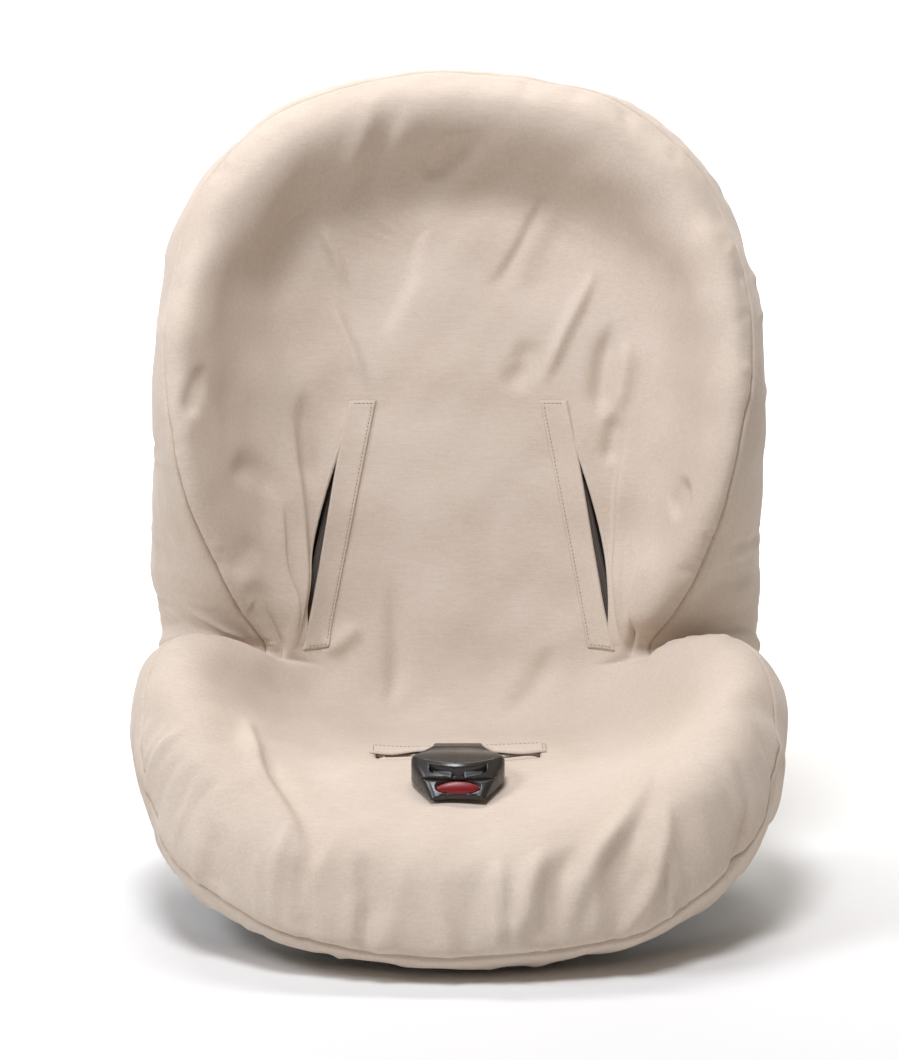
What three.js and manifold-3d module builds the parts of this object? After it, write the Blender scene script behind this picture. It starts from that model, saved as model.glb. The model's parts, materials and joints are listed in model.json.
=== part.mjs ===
// Toddler car seat: padded bucket on a reclining base, one fabric cover, harness buckle.
// Millimetres. +Z is up, the seat faces -Y, X runs across the seat. The feet stand on z = 0.
import * as THREE from 'three';
import { mergeVertices } from 'three/addons/utils/BufferGeometryUtils.js';
import Module from 'manifold-3d';

const wasm = await Module();
wasm.setup();

// ---------------------------------------------------------------- driving dimensions
const COVER_THICK = 4;
const SHELL_THICK = 4;
const SHELL_DEPTH_SEAT = 15;
const SHELL_DEPTH_RIM = 8;
const FOAM_START = 8.8;
const WING_FOAM_START = 5;
const FOAM_GAP = 0.8;
const SEAM_GAP = 0.004;
const HEM_R = 0.955;
const ELASTIC_RADIUS = 2.4;
const STRAP_WIDTH = 25;
const STRAP_THICK = 1.4;
const SLOT_WIDTH = 16;
const FLAP_WIDTH = 20;
const BUCKLE_SLOT_HALF = 61;
const BUCKLE_PIVOT = [0, -80, 123.6];
const BUCKLE_SLOPE = 0.205;
const RECLINE_CENTRE = [-20, 520];
const RECLINE_RADIUS = 440;
const RUNNER_X = 101;
const RUNNER_WIDTH = 14;
const PLATE_TOP = 22;
const HIP_Z = 168;
const FOOT_HEIGHT = 6;
const BASE_BACK = 238.6;
const BASE_FRONT = -128;

// Control net of the fabric face. One row per station, from the top centre down the right
// side to the front centre. Points: spine, floor foot, inner crest, outer crest, outer
// side, hem. The left side is the mirror image.
const STATIONS = [
  [[0, 136, 448], [0, 164, 512], [0, 130, 552], [0, 110, 608], [0, 214, 614], [0, 232, 560]],
  [[0, 135, 446], [84, 160, 500], [106, 120, 532], [132, 106, 584], [142, 206, 592], [138, 228, 545]],
  [[0, 130, 434], [140, 148, 462], [168, 80, 474], [200, 78, 512], [214, 180, 520], [204, 218, 496]],
  [[0, 118, 400], [164, 124, 408], [190, 24, 414], [228, 26, 428], [236, 125, 430], [228, 208, 424]],
  [[0, 98, 335], [163, 105, 342], [188, -14, 340], [224, -10, 345], [237, 80, 345], [230, 192, 345]],
  [[0, 76, 265], [150, 82, 268], [168, -2, 262], [204, 4, 262], [241, 78, 262], [236, 182, 265]],
  [[0, 56, 198], [118, 60, 205], [130, 14, 200], [168, 26, 198], [250, 92, 196], [238, 172, 195]],
  [[0, 38, 148], [104, 44, 156], [122, 24, 160], [160, 42, 164], [234, 74, 165], [222, 118, 112]],
  [[0, 10, 122], [122, 0, 132], [164, -12, 202], [226, -8, 211], [253, -12, 150], [226, 4, 60]],
  [[0, -40, 120], [140, -48, 126], [184, -66, 190], [230, -70, 194], [252, -74, 112], [212, -58, 26]],
  [[0, -74, 120], [126, -108, 117], [170, -140, 147], [214, -154, 143], [226, -152, 54], [168, -118, 6]],
  [[0, -86, 120], [78, -142, 108], [110, -184, 104], [140, -226, 88], [148, -236, -2], [94, -160, 6]],
  [[0, -90, 120], [0, -148, 108], [0, -200, 92], [0, -246, 70], [0, -254, -10], [0, -165, 6]],
];
// Where the front panel is sewn to the side band, as a share of the way from spine to hem.
const SEAM = [0.80, 0.80, 0.79, 0.74, 0.68, 0.665, 0.66, 0.585, 0.66, 0.76, 0.87, 0.87, 0.87];
const HALF = STATIONS.length - 1;
const AROUND = HALF * 2;

// ---------------------------------------------------------------- the fabric face
function vec(p) {
  return new THREE.Vector3(p[0], p[1], p[2]);
}

// The second control point leaves the spine without a crease.
function innerPoint(i) {
  const spine = vec(STATIONS[i][0]);
  const reach = vec(STATIONS[i][1]).sub(spine);
  if (i === 0 || i === HALF) return spine.addScaledVector(reach, 0.45);
  const along = vec(STATIONS[i - 1][0]).sub(vec(STATIONS[i + 1][0])).normalize();
  const share = reach.dot(along);
  return spine.add(new THREE.Vector3(0.45 * reach.x, 0, 0)).addScaledVector(along, 0.45 * share);
}

function buildNet() {
  const right = STATIONS.map((row, i) => {
    const points = row.map(vec);
    points.splice(1, 0, innerPoint(i));
    return points;
  });
  const mirror = (points) => points.map((p) => new THREE.Vector3(-p.x, p.y, p.z));
  const left = right.slice(1, HALF).reverse().map(mirror);
  return [...right, ...left];
}

const NET = buildNet();
const KNOTS = [0, 0, 0, 0, 0.25, 0.5, 0.75, 1, 1, 1, 1];

function basis(i, degree, r) {
  if (degree === 0) {
    const last = r >= 1 && KNOTS[i] < 1 && KNOTS[i + 1] >= 1;
    return (r >= KNOTS[i] && r < KNOTS[i + 1]) || last ? 1 : 0;
  }
  const a = KNOTS[i + degree] - KNOTS[i];
  const b = KNOTS[i + degree + 1] - KNOTS[i + 1];
  let value = 0;
  if (a > 0) value += ((r - KNOTS[i]) / a) * basis(i, degree - 1, r);
  if (b > 0) value += ((KNOTS[i + degree + 1] - r) / b) * basis(i + 1, degree - 1, r);
  return value;
}

function ringWeights(f) {
  const g = 1 - f;
  const w0 = (g * g * g) / 6;
  const w1 = (3 * f * f * f - 6 * f * f + 4) / 6;
  const w2 = (-3 * f * f * f + 3 * f * f + 3 * f + 1) / 6;
  return [w0, w1, w2, (f * f * f) / 6];
}

function facePoint(t, r) {
  const turn = ((t % AROUND) + AROUND) % AROUND;
  const i = Math.floor(turn);
  const across = ringWeights(turn - i);
  const point = new THREE.Vector3();
  for (let k = 0; k < 7; k += 1) {
    const w = basis(k, 3, Math.min(Math.max(r, 0), 1));
    if (w === 0) continue;
    across.forEach((a, n) => point.addScaledVector(NET[(i + n - 1 + AROUND) % AROUND][k], a * w));
  }
  return point;
}

function faceNormal(t, r) {
  const s = Math.min(Math.max(r, 0.02), 0.995);
  const h = 0.004;
  const dt = facePoint(t + h, s).sub(facePoint(t - h, s));
  const dr = facePoint(t, s + h).sub(facePoint(t, s - h));
  const normal = dt.cross(dr).normalize();
  if (r < 0.001) normal.x = 0;
  return normal.normalize();
}

// A point a given depth behind the fabric face.
function layerPoint(t, r, depth) {
  return facePoint(t, r).addScaledVector(faceNormal(t, r), -depth);
}

// The seam position at any station, even on both sides.
function seamAt(t) {
  const turn = ((t % AROUND) + AROUND) % AROUND;
  const u = turn > HALF ? AROUND - turn : turn;
  const i = Math.min(Math.floor(u), HALF - 1);
  return SEAM[i] + (SEAM[i + 1] - SEAM[i]) * (u - i);
}

function smooth(a, b, x) {
  const u = Math.min(Math.max((x - a) / (b - a), 0), 1);
  return u * u * (3 - 2 * u);
}

function shellDepth(r) {
  return SHELL_DEPTH_SEAT + (SHELL_DEPTH_RIM - SHELL_DEPTH_SEAT) * smooth(0.38, 0.58, r);
}

// ---------------------------------------------------------------- closed solids from layers
class Welder {
  constructor() {
    this.points = [];
    this.lookup = new Map();
    this.triangles = [];
  }

  add(near, far) {
    const key = [near.x, near.y, near.z].map((v) => Math.round(v * 1000)).join(' ');
    if (this.lookup.has(key)) return this.lookup.get(key);
    this.points.push([near, far]);
    this.lookup.set(key, this.points.length - 1);
    return this.points.length - 1;
  }

  triangle(a, b, c) {
    if (a === b || b === c || a === c) return;
    this.triangles.push([a, b, c]);
  }

  // Front skin, back skin and the walls that close the open edges.
  geometry() {
    const n = this.points.length;
    const index = [];
    const edges = new Set();
    this.triangles.forEach(([a, b, c]) => {
      index.push(a, b, c, n + c, n + b, n + a);
      edges.add(`${a} ${b}`).add(`${b} ${c}`).add(`${c} ${a}`);
    });
    edges.forEach((edge) => {
      const [a, b] = edge.split(' ').map(Number);
      if (!edges.has(`${b} ${a}`)) index.push(b, a, n + a, b, n + a, n + b);
    });
    const near = this.points.map((p) => p[0].toArray());
    const far = this.points.map((p) => p[1].toArray());
    return indexed([...near, ...far].flat(), index);
  }
}

function indexed(positions, index) {
  const geometry = new THREE.BufferGeometry();
  geometry.setAttribute('position', new THREE.Float32BufferAttribute(positions, 3));
  geometry.setIndex(index);
  return geometry;
}

// A sheet over a list of stations; rows(t) gives its r values, depths(r) its two depths.
function sheetSolid(stations, rows, depths, ring) {
  const weld = new Welder();
  const grid = stations.map((t) => rows(t).map((r) => {
    const [near, far] = depths(r);
    return weld.add(layerPoint(t, r, near), layerPoint(t, r, far));
  }));
  const last = ring ? stations.length : stations.length - 1;
  for (let i = 0; i < last; i += 1) {
    const here = grid[i];
    const next = grid[(i + 1) % stations.length];
    for (let j = 0; j + 1 < here.length; j += 1) {
      weld.triangle(here[j], next[j], next[j + 1]);
      weld.triangle(here[j], next[j + 1], here[j + 1]);
    }
  }
  return weld.geometry();
}

function spaced(from, to, steps) {
  return Array.from({ length: steps + 1 }, (_, i) => from + ((to - from) * i) / steps);
}

// Half a station apart, closer at the two folds between backrest and seat.
function ringStations() {
  const half = [...spaced(0, 6.5, 13), 6.75, 7, 7.25, ...spaced(7.5, 12, 9)];
  const other = half.slice(1, -1).reverse().map((t) => AROUND - t);
  return [...half, ...other];
}

const RING = ringStations();
// Rows from spine to seam, as shares of the seam's own place, then on to the hem.
const SHARES = [0, 0.12, 0.25, 0.38, 0.5, 0.61, 0.71, 0.79, 0.86, 0.93];
const MIDDLE_SHARES = SHARES.slice(0, 5);
const OUTER_SHARES = SHARES.slice(4, 7);

function rowsAt(t, shares) {
  return shares.map((share) => share * seamAt(t));
}

function panelRows(t) {
  return [...rowsAt(t, SHARES), seamAt(t) - SEAM_GAP];
}

function bandRows(t) {
  return spaced(seamAt(t) + SEAM_GAP, HEM_R, 6);
}

function shellRows(t) {
  return [...panelRows(t), ...bandRows(t), 1];
}

// ---------------------------------------------------------------- cutting and joining
function toSolid(geometry) {
  const bare = geometry.clone();
  bare.deleteAttribute('normal');
  bare.deleteAttribute('uv');
  const welded = mergeVertices(bare, 1e-4);
  const vertProperties = new Float32Array(welded.attributes.position.array);
  const triVerts = new Uint32Array(welded.index.array);
  return new wasm.Manifold(new wasm.Mesh({ numProp: 3, vertProperties, triVerts }));
}

function fromSolid(solid) {
  const mesh = solid.getMesh();
  return indexed(Array.from(mesh.vertProperties), Array.from(mesh.triVerts));
}

function cut(geometry, tools) {
  const start = toSolid(geometry);
  return fromSolid(tools.reduce((solid, tool) => solid.subtract(toSolid(tool)), start));
}

function join(geometries) {
  const solids = geometries.map(toSolid);
  return fromSolid(solids.reduce((a, b) => a.add(b)));
}

// ---------------------------------------------------------------- plain shapes
function box(low, high) {
  const size = high.map((v, i) => v - low[i]);
  const geometry = new THREE.BoxGeometry(size[0], size[1], size[2]);
  return geometry.translate(...high.map((v, i) => (v + low[i]) / 2));
}

function rod(from, to, radius, sides) {
  const a = vec(from);
  const b = vec(to);
  const geometry = new THREE.CylinderGeometry(radius, radius, a.distanceTo(b), sides);
  const turn = new THREE.Quaternion();
  turn.setFromUnitVectors(new THREE.Vector3(0, 1, 0), b.clone().sub(a).normalize());
  geometry.applyQuaternion(turn);
  const middle = a.add(b).multiplyScalar(0.5);
  return geometry.translate(middle.x, middle.y, middle.z);
}

function outline(points) {
  const shape = new THREE.Shape();
  points.forEach((p, i) => (i ? shape.lineTo(p[0], p[1]) : shape.moveTo(p[0], p[1])));
  shape.closePath();
  return shape;
}

// A side profile in (y, z), given thickness along x.
function sideProfile(points, x0, x1, bevel) {
  const settings = bevelSettings(x1 - x0, bevel);
  const geometry = new THREE.ExtrudeGeometry(outline(points), settings);
  geometry.translate(0, 0, x0 + bevel);
  const toWorld = new THREE.Matrix4().set(0, 0, 1, 0, 1, 0, 0, 0, 0, 1, 0, 0, 0, 0, 0, 1);
  return geometry.applyMatrix4(toWorld);
}

// A plan outline in (x, y), given height along z.
function planSolid(points, z0, z1, bevel) {
  const geometry = new THREE.ExtrudeGeometry(outline(points), bevelSettings(z1 - z0, bevel));
  return geometry.translate(0, 0, z0 + bevel);
}

function bevelSettings(height, bevel) {
  return {
    depth: height - 2 * bevel,
    bevelEnabled: bevel > 0,
    bevelThickness: bevel,
    bevelSize: bevel,
    bevelOffset: -bevel,
    bevelSegments: 1,
    curveSegments: 6,
  };
}

function mirrorX(points) {
  return [...points, ...points.slice().reverse().map((p) => [-p[0], p[1]])];
}

// A flat band swept through points, with the band's sideways direction at each point.
function band(points, sides, width, thick) {
  const positions = [];
  const index = [];
  points.forEach((p, i) => {
    const ahead = points[Math.min(i + 1, points.length - 1)].clone();
    ahead.sub(points[Math.max(i - 1, 0)]).normalize();
    const side = sides[i].clone().addScaledVector(ahead, -sides[i].dot(ahead)).normalize();
    const up = side.clone().cross(ahead).normalize();
    [[-1, -1], [1, -1], [1, 1], [-1, 1]].forEach(([a, b]) => {
      const corner = p.clone().addScaledVector(side, (a * width) / 2);
      positions.push(...corner.addScaledVector(up, (b * thick) / 2).toArray());
    });
  });
  for (let i = 0; i + 1 < points.length; i += 1) {
    for (let k = 0; k < 4; k += 1) {
      const a = i * 4 + k;
      const b = i * 4 + ((k + 1) % 4);
      index.push(a, a + 4, b, b, a + 4, b + 4);
    }
  }
  const e = (points.length - 1) * 4;
  index.push(0, 1, 2, 0, 2, 3, e, e + 2, e + 1, e, e + 3, e + 2);
  return orientOut(indexed(positions, index));
}

function signedVolume(geometry) {
  const p = geometry.attributes.position;
  const at = (i) => new THREE.Vector3().fromBufferAttribute(p, geometry.index.getX(i));
  let sum = 0;
  for (let i = 0; i < geometry.index.count; i += 3) sum += at(i).dot(at(i + 1).cross(at(i + 2)));
  return sum;
}

function orientOut(geometry) {
  if (signedVolume(geometry) < 0) geometry.setIndex(Array.from(geometry.index.array).reverse());
  return geometry;
}

// ---------------------------------------------------------------- places on the fabric face
// Station and share at a given x and height on the backrest.
function locateBack(x, z) {
  return solvePlace(x, z, 'z', [z > 420 ? 2.2 : 4.5, 0.2]);
}

function solvePlace(x, target, axis, start) {
  let [t, r] = start;
  for (let n = 0; n < 40; n += 1) {
    const p = facePoint(t, r);
    const h = 0.002;
    const pt = facePoint(t + h, r).sub(p).divideScalar(h);
    const pr = facePoint(t, r + h).sub(p).divideScalar(h);
    const ex = x - p.x;
    const ez = target - p[axis];
    const det = pt.x * pr[axis] - pr.x * pt[axis];
    const dt = (ex * pr[axis] - pr.x * ez) / det;
    const dr = (pt.x * ez - ex * pt[axis]) / det;
    t += Math.min(Math.max(dt, -0.6), 0.6);
    r = Math.min(Math.max(r + Math.min(Math.max(dr, -0.1), 0.1), 0.001), 0.9);
  }
  return [t, r];
}

function backPoint(x, z, depth) {
  const [t, r] = locateBack(Math.abs(x), z);
  const p = layerPoint(t, r, depth);
  return x < 0 ? p.set(-p.x, p.y, p.z) : p;
}

// Sideways direction lying in the fabric face, for a band that runs up the backrest.
function backSide(x, z) {
  const ahead = backPoint(x + 4, z, 0);
  return ahead.sub(backPoint(x - 4, z, 0)).normalize();
}

// Centre line of the harness slot on the backrest at a given height.
function slotX(z) {
  return 80 + (349 - z) * 0.2;
}

// ---------------------------------------------------------------- materials
function material(hex, roughness, metalness) {
  return new THREE.MeshStandardMaterial({ color: hex, roughness, metalness });
}

const FABRIC = () => material(0xcfc0ae, 0.95, 0);
const LINING = () => material(0xb7a78f, 0.95, 0);
const WEB = () => material(0x3b332d, 0.85, 0);
const FOAM = () => material(0xe6e3da, 0.98, 0);
const SHELL_PLASTIC = () => material(0x2d2e30, 0.55, 0);
const BASE_PLASTIC = () => material(0x232426, 0.6, 0);
const BUCKLE_PLASTIC = () => material(0x3a342f, 0.4, 0);
const STEEL = () => material(0xa9abad, 0.35, 1);
const RED = () => material(0xa0202a, 0.3, 0);
const RUBBER = () => material(0x191919, 0.9, 0);
const GREY = () => material(0x7d7f82, 0.45, 0);

const seat = new THREE.Group();

function add(name, geometry, look) {
  const mesh = new THREE.Mesh(geometry, look);
  mesh.name = name;
  seat.add(mesh);
}

function both(make) {
  [['left', -1], ['right', 1]].forEach(([side, sign]) => make(side, sign));
}

// ---------------------------------------------------------------- cover
// A slanting slot in the backrest, as a block to cut with.
function slotCutter(sign, width, zLow, zHigh, depthNear, depthFar) {
  const ends = [zLow, zHigh].map((z) => backPoint(sign * slotX(z), z, 0));
  const middle = ends[0].clone().add(ends[1]).multiplyScalar(0.5);
  const along = ends[1].clone().sub(ends[0]);
  const length = along.length();
  along.normalize();
  const side = new THREE.Vector3(1, 0, 0).addScaledVector(along, -along.x).normalize();
  const out = side.clone().cross(along).normalize();
  const geometry = new THREE.BoxGeometry(width, length, depthFar + depthNear);
  geometry.translate(0, 0, (depthNear - depthFar) / 2);
  geometry.applyMatrix4(new THREE.Matrix4().makeBasis(side, along, out));
  return geometry.translate(middle.x, middle.y, middle.z);
}

function buildCover() {
  const slots = [-1, 1].map((s) => slotCutter(s, SLOT_WIDTH, 176, 346, 16, 24));
  const crotch = box([-BUCKLE_SLOT_HALF, -90, 100], [BUCKLE_SLOT_HALF, -74, 140]);
  const panel = sheetSolid(RING, panelRows, () => [0, COVER_THICK], true);
  add('cover_panel', cut(panel, [...slots, crotch]), FABRIC());
  add('cover_side_band', sheetSolid(RING, bandRows, () => [0, COVER_THICK], true), FABRIC());
  add('hem_elastic', hemTube(), LINING());
}

// The gathered elastic in the cover's hem.
function hemTube() {
  const centre = RING.map((t) => layerPoint(t, HEM_R + 0.012, ELASTIC_RADIUS + 0.4));
  const curve = new THREE.CatmullRomCurve3(centre, true);
  return new THREE.TubeGeometry(curve, 96, ELASTIC_RADIUS, 6, true);
}

// The stitched strip that covers the inner half of a harness slot.
function slotFlap(sign) {
  const heights = spaced(172, 352, 9);
  const inset = 7;
  const points = heights.map((z) => backPoint(sign * (slotX(z) - inset), z, -3));
  const sides = heights.map((z) => backSide(sign * (slotX(z) - inset), z));
  return band(points, sides, FLAP_WIDTH, 1.6);
}

function buildFlaps() {
  both((side, sign) => add(`slot_flap_${side}`, slotFlap(sign), FABRIC()));
  const spots = spaced(-BUCKLE_SLOT_HALF - 3, BUCKLE_SLOT_HALF + 3, 6);
  const points = spots.map((x) => new THREE.Vector3(x, -67, surfaceZ(x, -67) + 2.4));
  const sides = points.map(() => new THREE.Vector3(0, 1, 0));
  add('buckle_slot_flap', band(points, sides, 18, 1.6), FABRIC());
}

// Height of the fabric face over the seat cushion.
function surfaceZ(x, y) {
  const [t, r] = solvePlace(Math.abs(x) + 0.01, y, 'y', [10.2, 0.12]);
  return facePoint(t, r).z;
}

// ---------------------------------------------------------------- foam pads
function foamDepths(start) {
  return (r) => [start, shellDepth(r) - FOAM_GAP];
}

function buildFoam() {
  const middle = (t) => rowsAt(t, MIDDLE_SHARES);
  const back = sheetSolid(spaced(-6.5, 6.5, 26), middle, foamDepths(FOAM_START), false);
  const channels = [-1, 1].map((s) => shoulderBand(s, 6, 5));
  add('back_foam', cut(back, channels), FOAM());
  const seatPad = sheetSolid(spaced(7.5, 16.5, 18), middle, foamDepths(FOAM_START), false);
  const crotch = box([-30, -94, 90], [30, -68, 140]);
  add('seat_foam', cut(seatPad, [crotch]), FOAM());
  const outer = (t) => rowsAt(t, OUTER_SHARES).map((r, i) => (i ? r : r + 0.006));
  const wing = (a, b, n) => sheetSolid(spaced(a, b, n), outer, foamDepths(WING_FOAM_START), false);
  add('wing_foam_right', wing(1.5, 6, 9), FOAM());
  add('wing_foam_left', wing(AROUND - 6, AROUND - 1.5, 9), FOAM());
  add('bolster_foam_right', wing(7.5, 10.5, 6), FOAM());
  add('bolster_foam_left', wing(AROUND - 10.5, AROUND - 7.5, 6), FOAM());
}

// ---------------------------------------------------------------- shell
// A stiffening rib standing on the back of the shell, along x or along z.
function backRib(spots, reach) {
  const inner = spots.map(([x, z]) => backPoint(x, z, SHELL_DEPTH_SEAT + 2));
  const outer = spots.map(([x, z], i) => backPoint(x, z, SHELL_DEPTH_SEAT + SHELL_THICK + reach[i]));
  const first = inner[0];
  const last = inner[inner.length - 1];
  const upright = Math.abs(last.z - first.z) > Math.abs(last.x - first.x);
  const side = upright ? new THREE.Vector3(1, 0, 0) : new THREE.Vector3(0, 0, 1);
  return fin(inner, outer, side, 3);
}

function fin(inner, outer, side, thick) {
  const positions = [];
  const index = [];
  inner.forEach((p, i) => {
    [[p, -1], [p, 1], [outer[i], 1], [outer[i], -1]].forEach(([q, s]) => {
      positions.push(...q.clone().addScaledVector(side, (s * thick) / 2).toArray());
    });
  });
  for (let i = 0; i + 1 < inner.length; i += 1) {
    for (let k = 0; k < 4; k += 1) {
      const a = i * 4 + k;
      const b = i * 4 + ((k + 1) % 4);
      index.push(a, a + 4, b, b, a + 4, b + 4);
    }
  }
  const e = (inner.length - 1) * 4;
  index.push(0, 1, 2, 0, 2, 3, e, e + 2, e + 1, e, e + 3, e + 2);
  return orientOut(indexed(positions, index));
}

function shellRibs() {
  const tall = spaced(190, 440, 6);
  const reach = tall.map((z) => 10 + 16 * Math.sin(((z - 180) / 270) * Math.PI));
  const uprights = [-128, 128].map((x) => backRib(tall.map((z) => [x, z]), reach));
  const across = spaced(-127, 127, 8);
  const bars = [300, 400].map((z) => backRib(across.map((x) => [x, z]), across.map(() => 7)));
  return [...uprights, ...bars];
}

function buildShell() {
  const depths = (r) => [shellDepth(r), shellDepth(r) + SHELL_THICK];
  const skin = sheetSolid(RING, shellRows, depths, true);
  const solid = join([skin, ...shellRibs()]);
  const slots = [-1, 1].map((s) => shoulderBand(s, 5, 7));
  const crotch = box([-26, -86, 80], [26, -74, 130]);
  add('shell', cut(solid, [...slots, crotch]), SHELL_PLASTIC());
}

// ---------------------------------------------------------------- harness
// Webbing from the hip anchor, up behind the slot, through the shell and down its back.
function strapX(z) {
  return slotX(z) - 10;
}

function shoulderPath(sign) {
  const at = (z, depth) => backPoint(sign * strapX(z), z, depth);
  const hip = [[HIP_Z, 32], [HIP_Z, 12], [HIP_Z + 4, 7], [HIP_Z + 11, 5.7]].map(([z, d]) => at(z, d));
  const front = spaced(190, 360, 6).map((z) => at(z, 5.7));
  const pass = [[369, 8.4], [372, 15], [370, 21.6]].map(([z, d]) => at(z, d));
  const rear = [[356, 30], [340, 36], [316, 36], [292, 31], [262, 24]];
  return [...hip, ...front, ...pass, ...rear.map(([z, d]) => backPoint(sign * 74, z, d))];
}

// The webbing itself, or a wider and thicker copy of it to cut its passage with.
function shoulderBand(sign, extraWidth, extraThick) {
  const points = shoulderPath(sign);
  const across = points.map((p) => backSide(p.x, Math.min(Math.max(p.z, 170), 360)));
  return band(points, across, STRAP_WIDTH + extraWidth, STRAP_THICK + extraThick);
}

function buildHarness() {
  both((side, sign) => {
    add(`shoulder_strap_${side}`, shoulderBand(sign, 0, 0), WEB());
    buildHipAnchor(side, sign);
    buildSlider(side, sign);
  });
  const bar = backPoint(0, 252, 32);
  add('rear_anchor_bar', rod([-118, bar.y, bar.z], [118, bar.y, bar.z], 4, 14), STEEL());
}

// A slotted steel plate behind the shell that holds the webbing's lower end.
function buildHipAnchor(side, sign) {
  const x = sign * strapX(HIP_Z);
  const outer = backPoint(x, HIP_Z, 32);
  const inward = backPoint(x, HIP_Z, 14).sub(outer).normalize();
  const across = backSide(x, HIP_Z);
  across.addScaledVector(inward, -across.dot(inward)).normalize();
  const up = inward.clone().cross(across);
  const turn = new THREE.Matrix4().makeBasis(across, up, inward);
  const plate = cut(box([-20, -9, -1.5], [20, 9, 1.5]), [box([-13.4, -2.2, -5], [13.4, 2.2, 5])]);
  plate.applyMatrix4(turn).translate(...outer.addScaledVector(inward, 5).toArray());
  add(`hip_anchor_${side}`, plate, STEEL());
}

// A three-bar slide that sets the webbing's length behind the shell.
function buildSlider(side, sign) {
  const p = backPoint(sign * 74, 328, 36);
  const frame = cut(box([-18, -3.8, -12], [18, 3.8, 12]), [box([-13.5, -2.6, -20], [13.5, 2.6, 20])]);
  const tilt = backPoint(sign * 74, 340, 36).sub(backPoint(sign * 74, 316, 36));
  frame.rotateX(-Math.atan2(tilt.y, tilt.z)).translate(p.x, p.y, p.z);
  add(`strap_slider_${side}`, frame, STEEL());
}

// ---------------------------------------------------------------- buckle
// Plan of the buckle, from the strap end forward: a six-sided body, narrow at both ends.
function buckleOutline() {
  const half = [[19, 10], [33, 42], [33, 50], [20, 80], [10, 78]];
  return mirrorX(half.map(([x, y]) => [x, -y]));
}

// Turned to lie on the seat cushion, which falls away towards the front.
function placeBuckle(geometry) {
  return geometry.rotateX(BUCKLE_SLOPE).translate(...BUCKLE_PIVOT);
}

function buildBuckle() {
  const plan = buckleOutline();
  const pocket = box([-24, -92, 9], [24, -56, 16]);
  const buttonBay = box([-17, -92, 3], [17, -58.5, 9.5]);
  const lower = cut(planSolid(plan, 1, 10.8, 1.5), [pocket, buttonBay]);
  add('buckle_lower_shell', placeBuckle(lower), BUCKLE_PLASTIC());
  const upper = cut(planSolid(plan, 11.1, 22, 3), [pocket]);
  add('buckle_upper_shell', placeBuckle(upper), BUCKLE_PLASTIC());
  const guide = box([-22, -74, 9.8], [22, -57, 15.4]);
  const slits = [-1, 1].map((s) => box([s * 11 - 7, -78, 11], [s * 11 + 7, -62, 14]));
  add('tongue_guide', placeBuckle(cut(guide, slits)), GREY());
  add('release_button', placeBuckle(planSolid(ovalPlan(15.5, 9, -73), 3.4, 9.2, 0.8)), RED());
  const sleeve = box([-17.5, -9.6, 1.5], [17.5, 2, 6]);
  add('buckle_sleeve', placeBuckle(sleeve), WEB());
}

function ovalPlan(halfWidth, halfLength, y) {
  const turns = spaced(0, 2 * Math.PI, 20).slice(0, 20);
  return turns.map((a) => [halfWidth * Math.cos(a), y + halfLength * Math.sin(a)]);
}

function buildCrotchStrap() {
  const points = [92.5, 100, 110, 120].map((z) => new THREE.Vector3(0, -80, z));
  const across = points.map(() => new THREE.Vector3(1, 0, 0));
  add('crotch_strap', band(points, across, 35, 2.6), WEB());
  const plate = cut(box([-40, -92, 88], [40, -68, 91.8]), [box([-19, -82.2, 80], [19, -77.8, 95])]);
  add('crotch_anchor_plate', plate, STEEL());
}

// ---------------------------------------------------------------- recline
function arcPoints(radius, y0, y1, steps) {
  const [cy, cz] = RECLINE_CENTRE;
  return spaced(y0, y1, steps).map((y) => [y, cz - Math.sqrt(radius * radius - (y - cy) ** 2)]);
}

function buildRunners() {
  const bottom = arcPoints(RECLINE_RADIUS, -128, 52, 12);
  const profile = [...bottom, [52, 99], [-20, 99], [-110, 97], [-128, 95]];
  both((side, sign) => {
    const x = sign * RUNNER_X;
    const half = RUNNER_WIDTH / 2;
    add(`runner_${side}`, sideProfile(profile, x - half, x + half, 0), BASE_PLASTIC());
  });
}

function buildRails() {
  const top = arcPoints(RECLINE_RADIUS + 0.6, -122, 118, 14);
  const profile = [...top, [118, PLATE_TOP + 0.3], [-122, PLATE_TOP + 0.3]];
  both((side, sign) => {
    const x = sign * RUNNER_X;
    add(`rail_${side}`, sideProfile(profile, x - 6, x + 6, 0), GREY());
  });
}

function rackProfile() {
  const tips = [];
  for (let i = 0; i < 7; i += 1) {
    const y = -55 + i * 12;
    tips.push(arcPoints(447, y, y, 1)[0], arcPoints(447, y + 6, y + 6, 1)[0]);
    tips.push(arcPoints(452, y + 7, y + 7, 1)[0], arcPoints(452, y + 11, y + 11, 1)[0]);
  }
  return [...tips, [30, PLATE_TOP + 0.3], [-56, PLATE_TOP + 0.3]];
}

function buildRecline() {
  add('recline_rack', sideProfile(rackProfile(), -12, 12, 0), STEEL());
  const grip = sideProfile(gripProfile(), -62, 62, 3);
  const neck = box([-14, -143, 44], [14, -135, 87]);
  add('recline_handle', join([grip, neck]), BASE_PLASTIC());
  add('recline_pull_rod', rod([0, -134.7, 82], [0, -22.3, 82], 3, 12), STEEL());
  const pawl = [[-22, 76.2], [-18, 74.6], [-10, 74.6], [-6, 76.2], [-6, 88], [-22, 88]];
  add('recline_pawl', sideProfile(pawl, -9, 9, 0), STEEL());
}

function gripProfile() {
  return [[-146, 34], [-143, 28], [-137, 28], [-133, 34], [-133, 44], [-137, 48], [-143, 48], [-146, 44]];
}

// ---------------------------------------------------------------- base
function basePlan(inset) {
  const half = [[96, BASE_FRONT], [116, -112], [140, 60], [150, 200], [142, BASE_BACK]];
  return mirrorX(half.map(([x, y]) => [x - inset, y]));
}

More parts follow.
